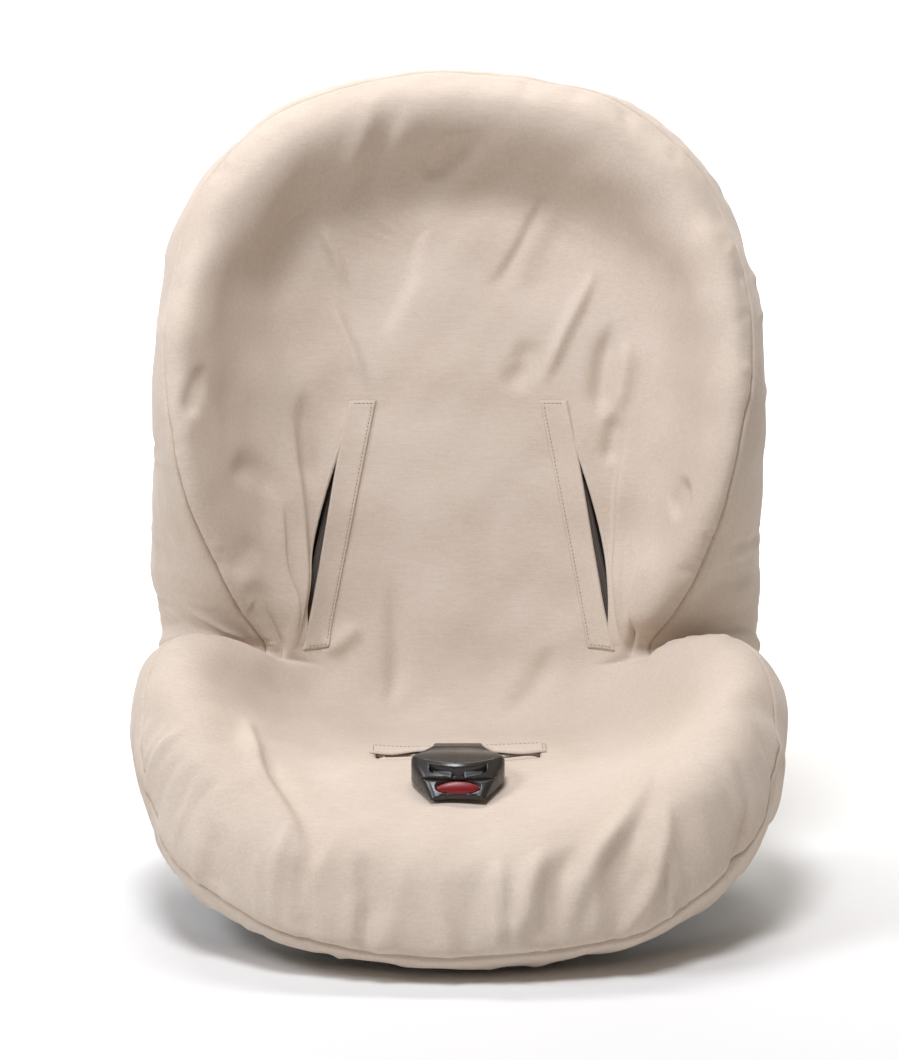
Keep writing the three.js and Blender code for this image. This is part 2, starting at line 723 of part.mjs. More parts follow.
function buildBase() {
  const plate = planSolid(basePlan(0), FOOT_HEIGHT + 0.3, PLATE_TOP, 0);
  const heel = box([-130, 224, 12], [130, BASE_BACK, 112]);
  const lift = [[196, 20], [226, 20], [226, 84]];
  const gussets = [-118, 0, 118].map((x) => sideProfile(lift, x - 4, x + 4, 0));
  add('base_plate', join([plate, heel, ...gussets]), BASE_PLASTIC());
  [['front', -96, 94], ['rear', 200, 120]].forEach(([end, y, x]) => {
    both((side, sign) => {
      const foot = rod([sign * x, y, 0], [sign * x, y, FOOT_HEIGHT], 14, 20);
      add(`foot_${end}_${side}`, foot, RUBBER());
    });
  });
}

// A hinged jaw that grips the vehicle belt where it crosses the base.
function buildLockoff(side, sign) {
  const a = sign > 0 ? 44 : -94;
  const b = a + 50;
  const z = 32;
  const ear = (x) => sideProfile([[182, 22.3], [198, 22.3], [196, 37], [184, 37]], x, x + 4, 0);
  const floor = box([a - 5, 182, 22.3], [b + 5, 198, 25.3]);
  const hole = rod([a - 9, 190, z], [b + 9, 190, z], 3, 16);
  const bracket = cut(join([ear(a - 5), ear(b + 1), floor]), [hole]);
  add(`lockoff_bracket_${side}`, bracket, BASE_PLASTIC());
  add(`lockoff_pin_${side}`, rod([a - 6.5, 190, z], [b + 6.5, 190, z], 2.9, 16), STEEL());
  const arm = [[194.5, 32], [192, 37.5], [150, 39], [138, 36], [138, 31], [150, 32.5], [186, 28.5]];
  const lever = sideProfile(arm, a + 0.5, b - 0.5, 0);
  const bore = rod([a - 9, 190, z], [b + 9, 190, z], 3.2, 16);
  add(`lockoff_lever_${side}`, cut(lever, [bore]), GREY());
}

buildCover();
buildFlaps();
buildFoam();
buildShell();
buildHarness();
buildBuckle();
buildCrotchStrap();
buildRunners();
buildRails();
buildRecline();
buildBase();
both(buildLockoff);

export default seat;
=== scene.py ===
import json
import math

import bmesh
import bpy
import numpy as np
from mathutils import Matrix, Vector


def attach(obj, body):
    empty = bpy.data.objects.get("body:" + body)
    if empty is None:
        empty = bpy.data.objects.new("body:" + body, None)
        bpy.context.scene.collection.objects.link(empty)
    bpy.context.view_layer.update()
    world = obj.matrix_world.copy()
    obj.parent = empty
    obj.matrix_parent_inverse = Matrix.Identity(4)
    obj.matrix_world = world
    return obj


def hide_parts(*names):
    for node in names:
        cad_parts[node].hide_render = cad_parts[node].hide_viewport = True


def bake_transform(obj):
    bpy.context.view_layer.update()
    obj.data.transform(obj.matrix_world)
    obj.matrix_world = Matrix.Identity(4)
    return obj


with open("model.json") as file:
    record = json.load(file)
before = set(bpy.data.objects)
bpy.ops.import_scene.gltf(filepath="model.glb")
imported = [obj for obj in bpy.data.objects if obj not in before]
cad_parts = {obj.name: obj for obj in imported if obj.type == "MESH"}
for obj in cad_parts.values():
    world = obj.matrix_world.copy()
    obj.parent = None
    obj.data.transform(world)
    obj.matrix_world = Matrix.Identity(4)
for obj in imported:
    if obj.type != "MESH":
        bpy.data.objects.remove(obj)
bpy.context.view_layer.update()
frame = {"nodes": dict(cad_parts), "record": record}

MM = 0.001

# ------------------------------------------------------------------ driving dimensions
# Depths are measured inwards from the fabric face. Shares run from the spine to the hem.
COVER_THICK = 4.0
LEAST_CLOTH = 2.6
SHELL_THICK = 4.0
SHELL_DEPTH_SEAT = 15.0
SHELL_DEPTH_RIM = 8.0
FOAM_CLEAR = 0.8
SEAM_GAP = 0.0007
HEM_R = 0.955
STRAP_WIDTH = 25.0
STRAP_THICK = 1.4
CROTCH_WIDTH = 35.0
CROTCH_SLIT_HALF = 61.0
SLOT_LOW = 176.0
SLOT_HIGH = 346.0
FACING_LOW = 172.0
FACING_HIGH = 352.0
BUCKLE_PIVOT = np.array([0.0, -80.0, 123.6])
BUCKLE_SLOPE = 0.205

# Control net of the fabric face. One row per station, from the top centre down the right
# side to the front centre. Points: spine, floor foot, inner crest, outer crest, outer
# side, hem. The left side is the mirror image.
STATIONS = np.array([
    [[0, 136, 448], [0, 164, 512], [0, 130, 552], [0, 110, 608], [0, 214, 614], [0, 232, 560]],
    [[0, 135, 446], [84, 160, 500], [106, 120, 532], [132, 106, 584], [142, 206, 592], [138, 228, 545]],
    [[0, 130, 434], [140, 148, 462], [168, 80, 474], [200, 78, 512], [214, 180, 520], [204, 218, 496]],
    [[0, 118, 400], [164, 124, 408], [190, 24, 414], [228, 26, 428], [236, 125, 430], [228, 208, 424]],
    [[0, 98, 335], [163, 105, 342], [188, -14, 340], [224, -10, 345], [237, 80, 345], [230, 192, 345]],
    [[0, 76, 265], [150, 82, 268], [168, -2, 262], [204, 4, 262], [241, 78, 262], [236, 182, 265]],
    [[0, 56, 198], [118, 60, 205], [130, 14, 200], [168, 26, 198], [250, 92, 196], [238, 172, 195]],
    [[0, 38, 148], [104, 44, 156], [122, 24, 160], [160, 42, 164], [234, 74, 165], [222, 118, 112]],
    [[0, 10, 122], [122, 0, 132], [164, -12, 202], [226, -8, 211], [253, -12, 150], [226, 4, 60]],
    [[0, -40, 120], [140, -48, 126], [184, -66, 190], [230, -70, 194], [252, -74, 112], [212, -58, 26]],
    [[0, -74, 120], [126, -108, 117], [170, -140, 147], [214, -154, 143], [226, -152, 54], [168, -118, 6]],
    [[0, -86, 120], [78, -142, 108], [110, -184, 104], [140, -226, 88], [148, -236, -2], [94, -160, 6]],
    [[0, -90, 120], [0, -148, 108], [0, -200, 92], [0, -246, 70], [0, -254, -10], [0, -165, 6]],
], float)
HALF = len(STATIONS) - 1
AROUND = 2 * HALF
# Where the front panel is sewn to the side band, as a share of the way from spine to hem.
SEAM = np.array([0.80, 0.80, 0.79, 0.74, 0.68, 0.665, 0.66, 0.585, 0.66, 0.76, 0.87, 0.87, 0.87])
KNOTS = np.array([0, 0, 0, 0, 0.25, 0.5, 0.75, 1, 1, 1, 1])
# How much of the way to its floor foot the face runs on before it bends up.
LEAVE = 0.45


# ------------------------------------------------------------------ the fabric face
def control_net():
    """Seven control points per station, all the way round."""
    rows = []
    for i, row in enumerate(STATIONS):
        spine, reach = row[0], row[1] - row[0]
        inner = spine + LEAVE * reach
        if 0 < i < HALF:
            along = STATIONS[i - 1][0] - STATIONS[i + 1][0]
            along = along / np.linalg.norm(along)
            inner = spine + np.array([LEAVE * reach[0], 0, 0]) + LEAVE * (reach @ along) * along
        rows.append(np.vstack([spine, inner, row[1:]]))
    right = np.array(rows)
    left = right[HALF - 1:0:-1] * [-1, 1, 1]
    return np.concatenate([right, left])


NET = control_net()


def radial_weights(r):
    """Weights of the seven control points from spine to hem: a clamped cubic B-spline."""
    r = np.clip(r, 0, 1)
    level = []
    for a, b in zip(KNOTS, KNOTS[1:]):
        before_end = (r < b) | ((b >= 1) & (r >= 1) & (a < 1))
        level.append(((r >= a) & before_end).astype(float))
    for degree in (1, 2, 3):
        lifted = []
        for i in range(len(level) - 1):
            up, down = KNOTS[i + degree] - KNOTS[i], KNOTS[i + degree + 1] - KNOTS[i + 1]
            value = np.zeros_like(r)
            if up > 0:
                value = value + (r - KNOTS[i]) / up * level[i]
            if down > 0:
                value = value + (KNOTS[i + degree + 1] - r) / down * level[i + 1]
            lifted.append(value)
        level = lifted
    return np.stack(level, -1)


def face(t, r):
    """Points of the fabric face at stations t and shares r."""
    t, r = np.broadcast_arrays(np.asarray(t, float), np.asarray(r, float))
    turn = np.mod(t, AROUND)
    i = np.floor(turn).astype(int)
    f = turn - i
    g = 1 - f
    across = [g**3 / 6, (3 * f**3 - 6 * f**2 + 4) / 6, (-3 * f**3 + 3 * f**2 + 3 * f + 1) / 6, f**3 / 6]
    net = sum(w[..., None, None] * NET[(i + n - 1) % AROUND] for n, w in enumerate(across))
    return np.einsum("...k,...kd->...d", radial_weights(r), net)


def unit(v):
    return v / np.maximum(np.linalg.norm(v, axis=-1, keepdims=True), 1e-9)


def face_normal(t, r):
    h = 0.004
    s = np.clip(r, 0.02, 0.995)
    normal = np.cross(face(t + h, s) - face(t - h, s), face(t, s + h) - face(t, s - h))
    # On the spine the two halves meet, so the normal has no sideways part.
    normal[..., 0] = np.where(np.asarray(r) < 0.001, 0, normal[..., 0])
    return unit(normal)


def mirrored_turn(t):
    """The right-hand station that matches a station on either side."""
    turn = np.mod(t, AROUND)
    return np.where(turn > HALF, AROUND - turn, turn)


def seam_at(t):
    """The share at which the seam runs, at each station."""
    return np.interp(mirrored_turn(t), np.arange(HALF + 1), SEAM)


def smooth(a, b, x):
    """A soft step from 0 at a to 1 at b."""
    u = np.clip((x - a) / (b - a), 0, 1)
    return u * u * (3 - 2 * u)


def shell_depth(r):
    """How deep the shell's face lies: less at the rim, where there is no pad."""
    return SHELL_DEPTH_SEAT + (SHELL_DEPTH_RIM - SHELL_DEPTH_SEAT) * smooth(0.38, 0.58, r)


def solve_place(x, target, axis, t0, r0):
    """The station and share of the points at |x| and at a height (axis 2) or depth (axis 1)."""
    x = np.abs(np.asarray(x, float))
    t = np.full_like(x, t0)
    r = np.full_like(x, r0)
    h = 0.002
    for _ in range(30):
        p = face(t, r)
        by_t, by_r = (face(t + h, r) - p) / h, (face(t, r + h) - p) / h
        ex, ea = x - p[..., 0], target - p[..., axis]
        det = by_t[..., 0] * by_r[..., axis] - by_r[..., 0] * by_t[..., axis]
        det = np.where(np.abs(det) < 1e-9, 1e-9, det)
        t = t + np.clip((ex * by_r[..., axis] - by_r[..., 0] * ea) / det, -0.6, 0.6)
        r = np.clip(r + np.clip((by_t[..., 0] * ea - ex * by_t[..., axis]) / det, -0.1, 0.1), 0.001, 0.9)
    return t, r


def on_face(x, target, axis, t0, r0):
    """Points and outward normals of the face there, on either side of the middle."""
    x, target = np.broadcast_arrays(np.asarray(x, float), np.asarray(target, float))
    t, r = solve_place(x, target, axis, t0, r0)
    flip = np.where(x < 0, -1.0, 1.0)[..., None] * [1, 0, 0] + [0, 1, 1]
    return face(t, r) * flip, face_normal(t, r) * flip


def on_back(x, z):
    """Points and normals of the backrest, by place across and height."""
    high = np.asarray(z) > 420
    return on_face(x, z, 2, np.where(high, 2.2, 4.5), 0.2)


def on_seat(x, y):
    """Points and normals of the seat, by place across and depth."""
    return on_face(x, y, 1, 10.2, 0.12)


def slot_x(z):
    """Centre line of the harness slot, which leans outward as it goes down."""
    return 80 + (349 - z) * 0.2


# ------------------------------------------------------------------ folds of the cover
# Each fold is a ridge (height above zero) or valley: shape, width, height, and its line as
# (station, share of the way from spine to hem). A lapped fold falls off steeply on its side
# towards the middle of the seat and slowly on the other.
FOLDS = [
    # above the backrest's middle
    ("lapped", 17, -4, [(23.68, 0.71), (23.53, 0.55), (23.12, 0.29)]),
    ("soft", 13, 4, [(23.50, 0.74), (23.4, 0.58), (23.0, 0.34)]),
    ("soft", 14, -4, [(24.12, 0.53), (23.93, 0.41), (23.68, 0.28)]),
    ("lapped", 17, -5, [(23.68, 0.14), (22.4, 0.06), (21.43, 0.07), (20.88, 0.08)]),
    ("lapped", 15, -4, [(0.78, 0.32), (1.07, 0.12), (2.08, 0.03)]),
    ("soft", 14, 3, [(0.9, 0.30), (1.22, 0.12), (2.3, 0.05)]),
    # down the backrest and the wings' inner faces
    ("soft", 24, -6, [(23.08, 0.60), (22.38, 0.31), (21.12, 0.22), (20.2, 0.19)]),
    ("soft", 5, 2.5, [(22.65, 0.31), (22.2, 0.18), (21.68, 0.13)]),
    ("soft", 5, 3, [(21.62, 0.16), (21.0, 0.12), (20.33, 0.09)]),
    ("soft", 6, 4, [(1.88, 0.21), (2.8, 0.12), (3.68, 0.08)]),
    ("soft", 9, -6, [(2.83, 0.19), (3.45, 0.16), (4.05, 0.16)]),
    ("soft", 8, 3, [(2.98, 0.22), (4.0, 0.19)]),
    ("soft", 12, -4, [(2.95, 0.06), (3.35, 0.07), (3.65, 0.04)]),
    ("soft", 10, -4, [(20.65, 0.47), (20.12, 0.60)]),
    ("soft", 13, -4, [(19.50, 0.42), (19.58, 0.34), (19.45, 0.28), (19.12, 0.26)]),
    ("soft", 13, -2.5, [(18.6, 0.62), (18.8, 0.38)]),
    ("soft", 12, -4, [(18.3, 0.62), (18.3, 0.49), (17.85, 0.52), (17.1, 0.51)]),
    ("soft", 14, -5, [(4.48, 0.43), (4.9, 0.38)]),
    # the pulled folds beside the harness slots, down to the hip notches
    ("lapped", 9, 6.5, [(20.2, 0.20), (19.78, 0.20), (19.05, 0.21), (18.7, 0.23), (18.23, 0.27),
                        (17.8, 0.36), (17.1, 0.47)]),
    ("lapped", 6, 3.5, [(19.28, 0.26), (18.95, 0.27), (18.38, 0.34), (18.03, 0.36), (17.38, 0.44)]),
    ("soft", 8, -5, [(20.38, 0.18), (19.88, 0.18), (19.2, 0.185)]),
    ("crisp", 6, -7, [(18.18, 0.49), (17.7, 0.53), (16.8, 0.45)]),
    ("lapped", 9, 6.5, [(4.0, 0.22), (4.53, 0.21), (5.15, 0.23), (5.65, 0.28), (6.08, 0.37), (6.88, 0.50)]),
    ("lapped", 6, 3.5, [(5.2, 0.35), (5.75, 0.41), (6.5, 0.52)]),
    ("soft", 8, -4, [(3.9, 0.19), (4.5, 0.18)]),
    ("crisp", 6, -7, [(6.1, 0.46), (6.5, 0.50), (7.2, 0.44)]),
    # the band beside the left hip notch
    ("crisp", 6, 2.5, [(17.98, 0.93), (17.8, 0.87), (17.65, 0.83)]),
    ("crisp", 7, 3, [(18.18, 0.85), (17.95, 0.81), (17.7, 0.73), (17.3, 0.65)]),
    # the seat cushion
    ("soft", 10, 3.5, [(17.15, 0.28), (17.45, 0.20), (17.73, 0.15)]),
    ("soft", 9, -3, [(18.3, 0.085), (17.6, 0.09), (16.93, 0.09), (16.2, 0.10)]),
    ("soft", 12, -3, [(6.55, 0.17), (7.4, 0.11), (7.95, 0.05)]),
    ("soft", 10, 4.5, [(14.8, 0.35), (13.6, 0.43), (13.05, 0.55), (12.78, 0.72)]),
    ("soft", 11, -5, [(14.2, 0.33), (13.3, 0.46), (12.92, 0.58), (12.7, 0.76)]),
    ("soft", 9, -4, [(13.55, 0.72), (13.4, 0.81), (13.35, 0.87)]),
    ("soft", 8, -4.5, [(12.88, 0.68), (12.78, 0.78), (12.78, 0.88)]),
    ("soft", 8, -3.5, [(12.55, 0.60), (12.45, 0.72), (12.38, 0.84)]),
    ("soft", 7, 4, [(11.75, 0.57), (11.8, 0.75), (11.83, 0.87)]),
    ("soft", 9, 4.5, [(11.45, 0.57), (11.68, 0.76), (11.75, 0.87)]),
    ("soft", 9, -4, [(11.3, 0.60), (11.52, 0.74), (11.63, 0.86)]),
    ("soft", 10, 5, [(10.18, 0.38), (10.83, 0.56), (11.35, 0.71), (11.5, 0.86)]),
    ("soft", 10, -4, [(10.35, 0.44), (10.98, 0.62), (11.25, 0.80)]),
    ("soft", 8, 4.5, [(10.58, 0.58), (10.88, 0.76), (11.08, 0.82), (11.2, 0.88)]),
    ("soft", 7, -4, [(10.05, 0.78), (10.18, 0.84), (10.28, 0.89)]),
]
# The crease at the right hip and the swell beside it. The left hip has the same.
HIP_NOTCH = [
    ("crisp", 8, -11, [(7.0, 1.05), (7.0, 0.80), (7.0, 0.52), (7.05, 0.24)]),
    ("soft", 12, -2.5, [(6.95, 0.80), (7.0, 0.55), (7.1, 0.34)]),
    ("soft", 11, 4, [(6.7, 0.98), (6.7, 0.62)]),
    ("soft", 14, 4, [(7.4, 0.95), (7.4, 0.55)]),
]
# Heights above are those of a cover that is smoothed out; worn cloth stands this much higher.
FOLD_STRENGTH = 1.45


def mirrored(folds):
    """The same folds on the other side of the seat."""
    return [(shape, width, rise, [(AROUND - t, r) for t, r in line]) for shape, width, rise, line in folds]


def scattered_folds():
    """Small gathers that the seam pulls into the front lip and round the wings."""
    rng = np.random.default_rng(21)
    folds = []
    for _ in range(46):
        t = rng.uniform(9.2, 14.8)
        top = 0.86 - rng.uniform(0.10, 0.30)
        height = rng.choice([-1, 1]) * rng.uniform(0.8, 2.2)
        drift = rng.uniform(-0.15, 0.15)
        folds.append(("soft", rng.uniform(4, 8), height, [(t + drift, top), (t, 0.88)]))
    for _ in range(40):
        t = rng.uniform(-8.5, 8.5)
        edge = float(seam_at(t))
        height = rng.choice([-1, 1]) * rng.uniform(0.3, 1.0)
        inward = rng.uniform(0.05, 0.14)
        folds.append(("soft", rng.uniform(4, 8), height, [(t + 0.05, edge - inward), (t, edge - 0.01)]))
    for _ in range(64):
        t = rng.uniform(0, AROUND)
        edge = float(seam_at(t))
        height = rng.choice([-1, 1]) * rng.uniform(0.4, 1.2)
        width = rng.uniform(5, 10)
        drift = rng.uniform(-0.15, 0.15)
        folds.append(("soft", width, height, [(t, edge + 0.02), (t + drift, 0.97)]))
    return folds


def rounded_line(points, passes=3):
    """Cuts the corners of a line of points until it is smooth."""
    line = np.array(points, float)
    for _ in range(passes):
        cut = np.concatenate([0.75 * line[:-1] + 0.25 * line[1:], 0.25 * line[:-1] + 0.75 * line[1:]], 1)
        line = np.vstack([line[:1], cut.reshape(-1, line.shape[1]), line[-1:]])
    return line


def fold_relief(points, folds):
    """Height of the folds over points of the face."""
    height = np.zeros(len(points))
    for shape, width, rise, line in folds:
        at = rounded_line(line)
        path = face(at[:, 0], at[:, 1])
        reach = width * 5
        near = np.all((points > path.min(0) - reach) & (points < path.max(0) + reach), axis=1)
        if not near.any():
            continue
        p = points[near]
        steps = path[1:] - path[:-1]
        lengths = np.maximum(np.linalg.norm(steps, axis=1), 1e-6)
        run = np.concatenate([[0], np.cumsum(lengths)])
        best, share, middle = np.full(len(p), 1e9), np.zeros(len(p)), np.zeros(len(p))
        for k, step in enumerate(steps):
            along = np.clip((p - path[k]) @ step / lengths[k] ** 2, 0, 1)
            foot = path[k] + along[:, None] * step
            away = np.linalg.norm(p - foot, axis=1)
            closer = away < best
            best = np.where(closer, away, best)
            middle = np.where(closer, np.abs(foot[:, 0]), middle)
            share = np.where(closer, (run[k] + along * lengths[k]) / run[-1], share)
        fade = smooth(0, 0.35, share) * smooth(1, 0.7, share)
        slim = width * (0.6 + 0.4 * fade)
        if shape == "crisp":
            profile = np.exp(-np.sqrt((best / (0.34 * slim)) ** 2 + 0.05))
        elif shape == "lapped":
            outside = np.abs(p[:, 0]) > middle
            profile = np.exp(-((best / (slim * np.where(outside, 2.2, 0.38))) ** 2))
        else:
            profile = np.exp(-((best / (0.8 * slim)) ** 2))
        height[near] += FOLD_STRENGTH * rise * profile * fade
    return height


def padding_relief(points):
    """The slow swell of the padding and the slack of the cloth over it."""
    rng = np.random.default_rng(5)
    height = np.zeros(len(points))
    for wave, rise, count in ((130, 1.0, 6), (64, 0.55, 8), (30, 0.22, 10)):
        for _ in range(count):
            way = unit(rng.normal(size=3)) * 2 * math.pi / (wave * rng.uniform(0.75, 1.3))
            height += rise / math.sqrt(count) * np.sin(points @ way + rng.uniform(0, 2 * math.pi))
    return height * 1.4


def seam_relief(t, r, width=1.3, depth=2.4):
    """The groove of the seam, the roll beside it and the small puckers that the thread pulls."""
    edge = seam_at(t)
    away = np.linalg.norm(face(t, r) - face(t, edge), axis=-1)
    puckers = np.sin(t * 34 + 2.5 * np.sin(t * 7.3)) * (0.6 + 0.4 * np.sin(t * 5.1 + 1))
    groove = -depth * np.exp(-((away / width) ** 2))
    roll = 0.6 * np.exp(-(((away - 6) / 5) ** 2))
    return groove + roll + 0.3 * puckers * np.exp(-((away / 10) ** 2))


# ------------------------------------------------------------------ meshes from grids
def with_next(grid, ring):
    """A grid's lines, and the lines next to them. A ring's last line is next to its first."""
    return (grid, np.roll(grid, -1, 0)) if ring else (grid[:-1], grid[1:])


def numbered(count, rows):
    """A number for each point of a grid."""
    return np.arange(count * rows).reshape(count, rows)


def sheet_mesh(front, back, ring, keep=None, index=None):
    """A closed solid from a front and a back grid of points: skins, and walls at open edges."""
    count, rows = front.shape[:2]
    here, following = with_next(numbered(count, rows) if index is None else index, ring)
    quads = np.stack([here[:, :-1], following[:, :-1], following[:, 1:], here[:, 1:]], -1).reshape(-1, 4)
    if keep is not None:
        quads = quads[keep.reshape(-1)]
    edges = np.stack([quads, np.roll(quads, -1, 1)], -1).reshape(-1, 2)
    total = count * rows
    code, reverse = edges[:, 0] * total + edges[:, 1], edges[:, 1] * total + edges[:, 0]
    rim = edges[~np.isin(code, reverse)]
    walls = np.stack([rim[:, 1], rim[:, 0], rim[:, 0] + total, rim[:, 1] + total], -1)
    faces = np.concatenate([quads, quads[:, ::-1] + total, walls])
    points = np.concatenate([front.reshape(-1, 3), back.reshape(-1, 3)])
    used = np.unique(faces)
    order = np.zeros(2 * total, int)
    order[used] = np.arange(len(used))
    return points[used], order[faces]


def tube_mesh(rings, closed):
    """A closed tube through rings of points; its ends are capped unless it closes on itself."""
    index = numbered(*rings.shape[:2])
    here, following = with_next(index, closed)
    quads = np.stack([here, np.roll(here, -1, 1), np.roll(following, -1, 1), following], -1)
    faces = quads.reshape(-1, 4).tolist()
    if not closed:
        faces += [index[0, ::-1].tolist(), index[-1].tolist()]
    return rings.reshape(-1, 3), faces


def rings_round(path, radius, side, up, sides):
    """Circles of points round a path. radius is one number, or one for each point."""
    turns = np.linspace(0, 2 * math.pi, sides, endpoint=False)
    spokes = np.cos(turns)[None, :, None] * side[:, None] + np.sin(turns)[None, :, None] * up[:, None]
    return path[:, None] + np.reshape(radius, (-1, 1, 1)) * spokes


def rope(path, normal, radius, sides=12):
    """A round tube along a path."""
    side = unit(np.cross(np.gradient(path, axis=0), normal))
    return tube_mesh(rings_round(path, radius, side, normal, sides), False)


def joined(parts):
    """Several meshes as one."""
    points, faces, count = [], [], 0
    for part_points, part_faces in parts:
        faces += [[int(i) + count for i in corner] for corner in part_faces]
        points.append(part_points)
        count += len(part_points)
    return np.vstack(points), faces


def run_along(line):
    """The length along a line up to each of its points."""
    return np.concatenate([[0], np.cumsum(np.linalg.norm(np.diff(line, axis=0), axis=1))])


def read_along(at, run, rows):
    """Rows of numbers known at the lengths run, read at the lengths at."""
    return np.stack([np.interp(at, run, rows[:, k]) for k in range(3)], -1)


def placed(name, data):
    """A new object in the scene."""
    thing = bpy.data.objects.new(name, data)
    bpy.context.scene.collection.objects.link(thing)
    return thing


def shade_smooth(mesh, crease=None):
    mesh.polygons.foreach_set("use_smooth", [True] * len(mesh.polygons))
    if crease is not None:
        mesh.set_sharp_from_angle(angle=math.radians(crease))


def make_piece(name, body, points, faces, finish, slot, crease=None):
    """A mesh object in metres that rides on a body. crease is the angle that stays sharp."""
    mesh = bpy.data.meshes.new(name)
    corners = [list(map(int, dict.fromkeys(corner))) for corner in faces]
    mesh.from_pydata((np.asarray(points) * MM).tolist(), [], corners)
    shade_smooth(mesh, crease)
    mesh.materials.append(finish)
    piece = placed(name, mesh)
    if body:
        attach(piece, body)
    return piece


def ring_index(count, rows):
    """Grid numbering whose first row is shared across the middle, where the two halves meet."""
    index = numbered(count, rows)
    for i in range(1, count // 2):
        index[count - i, 0] = index[i, 0]
    return index


def snap(points, side, gap):
    """Moves points that lie close to a cut line onto it. gap is the way to the line."""
    near = np.abs(gap) < SNAP_REACH
    points[near] += side[near] * gap[near][:, None]


def inside_quads(inside, ring):
    """True for the grid cells that have all four corners inside."""
    here, following = with_next(inside, ring)
    return here[:, :-1] & following[:, :-1] & following[:, 1:] & here[:, 1:]


# ------------------------------------------------------------------ materials
def linear(hex_colour):
    """An sRGB hex colour as linear RGBA."""
    parts = [int(hex_colour[i:i + 2], 16) / 255 for i in (1, 3, 5)]
    return [c / 12.92 if c <= 0.04045 else ((c + 0.055) / 1.055) ** 2.4 for c in parts] + [1.0]


def put(tree, kind, sockets=None, **settings):
    """Adds a shader node: its own settings, then a value or a link for each named socket."""
    node = tree.nodes.new("ShaderNode" + kind)
    for key, value in settings.items():
        setattr(node, key, value)
    for key, value in (sockets or {}).items():
        socket = node.inputs[key]
        if isinstance(value, bpy.types.NodeSocket):
            tree.links.new(value, socket)
        else:
            socket.default_value = value
    return node


def start_finish(name, roughness, metallic=0.0, **sockets):
    """A material and its node tree. Sockets are constants on the shader itself."""
    material = bpy.data.materials.new(name)
    material.use_nodes = True
    shader = material.node_tree.nodes["Principled BSDF"]
    for key, value in {"Roughness": roughness, "Metallic": metallic, **sockets}.items():
        shader.inputs[key.replace("_", " ")].default_value = value
    return material, material.node_tree


def feed(material, socket, source):
    """Links a node's output to a socket of the material's shader."""
    tree = material.node_tree
    tree.links.new(source, tree.nodes["Principled BSDF"].inputs[socket])


def surface(material, tones, dark, light, relief, strength, height):
    """Colours a material between two tones by one pattern and raises it by another.
    A tone is a hex colour or a node's output. The height is in millimetres."""
    tree = material.node_tree
    low, high = [linear(tone) if isinstance(tone, str) else tone for tone in (dark, light)]
    colour = put(tree, "Mix", {0: tones, 6: low, 7: high}, data_type="RGBA")
    bump = put(tree, "Bump", {"Height": relief, "Strength": strength, "Distance": height * MM})
    feed(material, "Base Color", colour.outputs[2])
    feed(material, "Normal", bump.outputs[0])
    return material


def woven_linen():
    """Undyed cotton and linen cloth, plain woven: matt, soft, with thicker slub threads.
    The threads lie 0.8 mm apart. They are drawn 1.3 mm apart, the finest that still shows."""
    material, tree = start_finish(
        "woven_linen", 0.95, Sheen_Weight=0.15, Sheen_Roughness=0.5, Specular_IOR_Level=0.2)
    place = put(tree, "TexCoord").outputs["Object"]
    # Turned so that one thread direction runs across and the other up the back and along the seat.
    cut = put(tree, "Mapping", {"Vector": place, "Rotation": (math.radians(-45), 0, 0)}).outputs[0]
    weave = None
    # The fine threads, then the slubs: their weight, and how wide and how long they show in mm.
    for share, width, length in ((1.0, 1.3, 9), (0.5, 2.2, 20)):
        across, along = 1 / (width * MM), 1 / (length * MM)
        for scale in ((across, across, along), (along, across, across)):
            stretched = put(tree, "Mapping", {"Vector": cut, "Scale": scale}).outputs[0]
            threads = put(tree, "TexNoise", {"Vector": stretched, "Scale": 1.0, "Detail": 1.0})
            weighed = {0: threads.outputs["Fac"], 1: share}
            part = put(tree, "Math", weighed, operation="MULTIPLY").outputs[0]
            if weave is not None:
                part = put(tree, "Math", {0: weave, 1: part}, operation="ADD").outputs[0]
            weave = part
    tone = put(tree, "MapRange", {"Value": weave, "From Min": 1.0, "From Max": 2.0}).outputs[0]
    # Uneven colour over a few centimetres, as on washed cloth.
    cloud = put(tree, "TexNoise", {"Vector": place, "Scale": 1 / (62.5 * MM), "Detail": 3.0}).outputs["Fac"]
    washed = put(tree, "MapRange", {"Value": cloud, "From Min": 0.35, "From Max": 0.7}).outputs[0]
    dark, pale = [
        put(tree, "Mix", {0: washed, 6: linear(low), 7: linear(high)}, data_type="RGBA").outputs[2]
        for low, high in (("#C8B7A6", "#CDBDAD"), ("#D4C5B6", "#D8CABC"))]
    return surface(material, tone, dark, pale, weave, 0.5, 0.16)


# A wave texture of scale 1 repeats every pi / 10 of its units; this turns a pitch into its scale.
WAVE = 2 * math.pi / 20


def spun_thread():
    """Polyester sewing thread, spun: a little shinier and darker than the cloth it closes.
    Its twist is drawn at 0.9 mm, about twice the real pitch."""
    material, tree = start_finish("spun_thread", 0.6, Sheen_Weight=0.2)
    place = put(tree, "TexCoord").outputs["Object"]
    turns = {"Vector": place, "Scale": WAVE / (0.9 * MM), "Distortion": 1.0}
    twist = put(tree, "TexWave", turns, bands_direction="DIAGONAL").outputs["Fac"]
    return surface(material, twist, "#9C8468", "#B49E82", twist, 0.5, 0.1)


def gathered_elastic():
    """The hem's casing over its elastic: the same cloth, drawn into gathers about 4 mm apart. Its colour
    carries painted shade, darker in the valleys between the gathers.
    """
    material, tree = start_finish("gathered_elastic", 0.9, Sheen_Weight=0.1)
    place = put(tree, "TexCoord").outputs["Object"]
    gather_relief_and_shade = put(tree, "TexNoise", {"Vector": place, "Scale": 1 / (3.85 * MM), "Detail": 2.0}).outputs["Fac"]
    # Painted shade: the colour follows the gathers' relief, so the valleys between them are darker than the
    # cloth.
    return surface(material, gather_relief_and_shade, "#A89680", "#C9B9A4", gather_relief_and_shade, 0.6, 0.8)


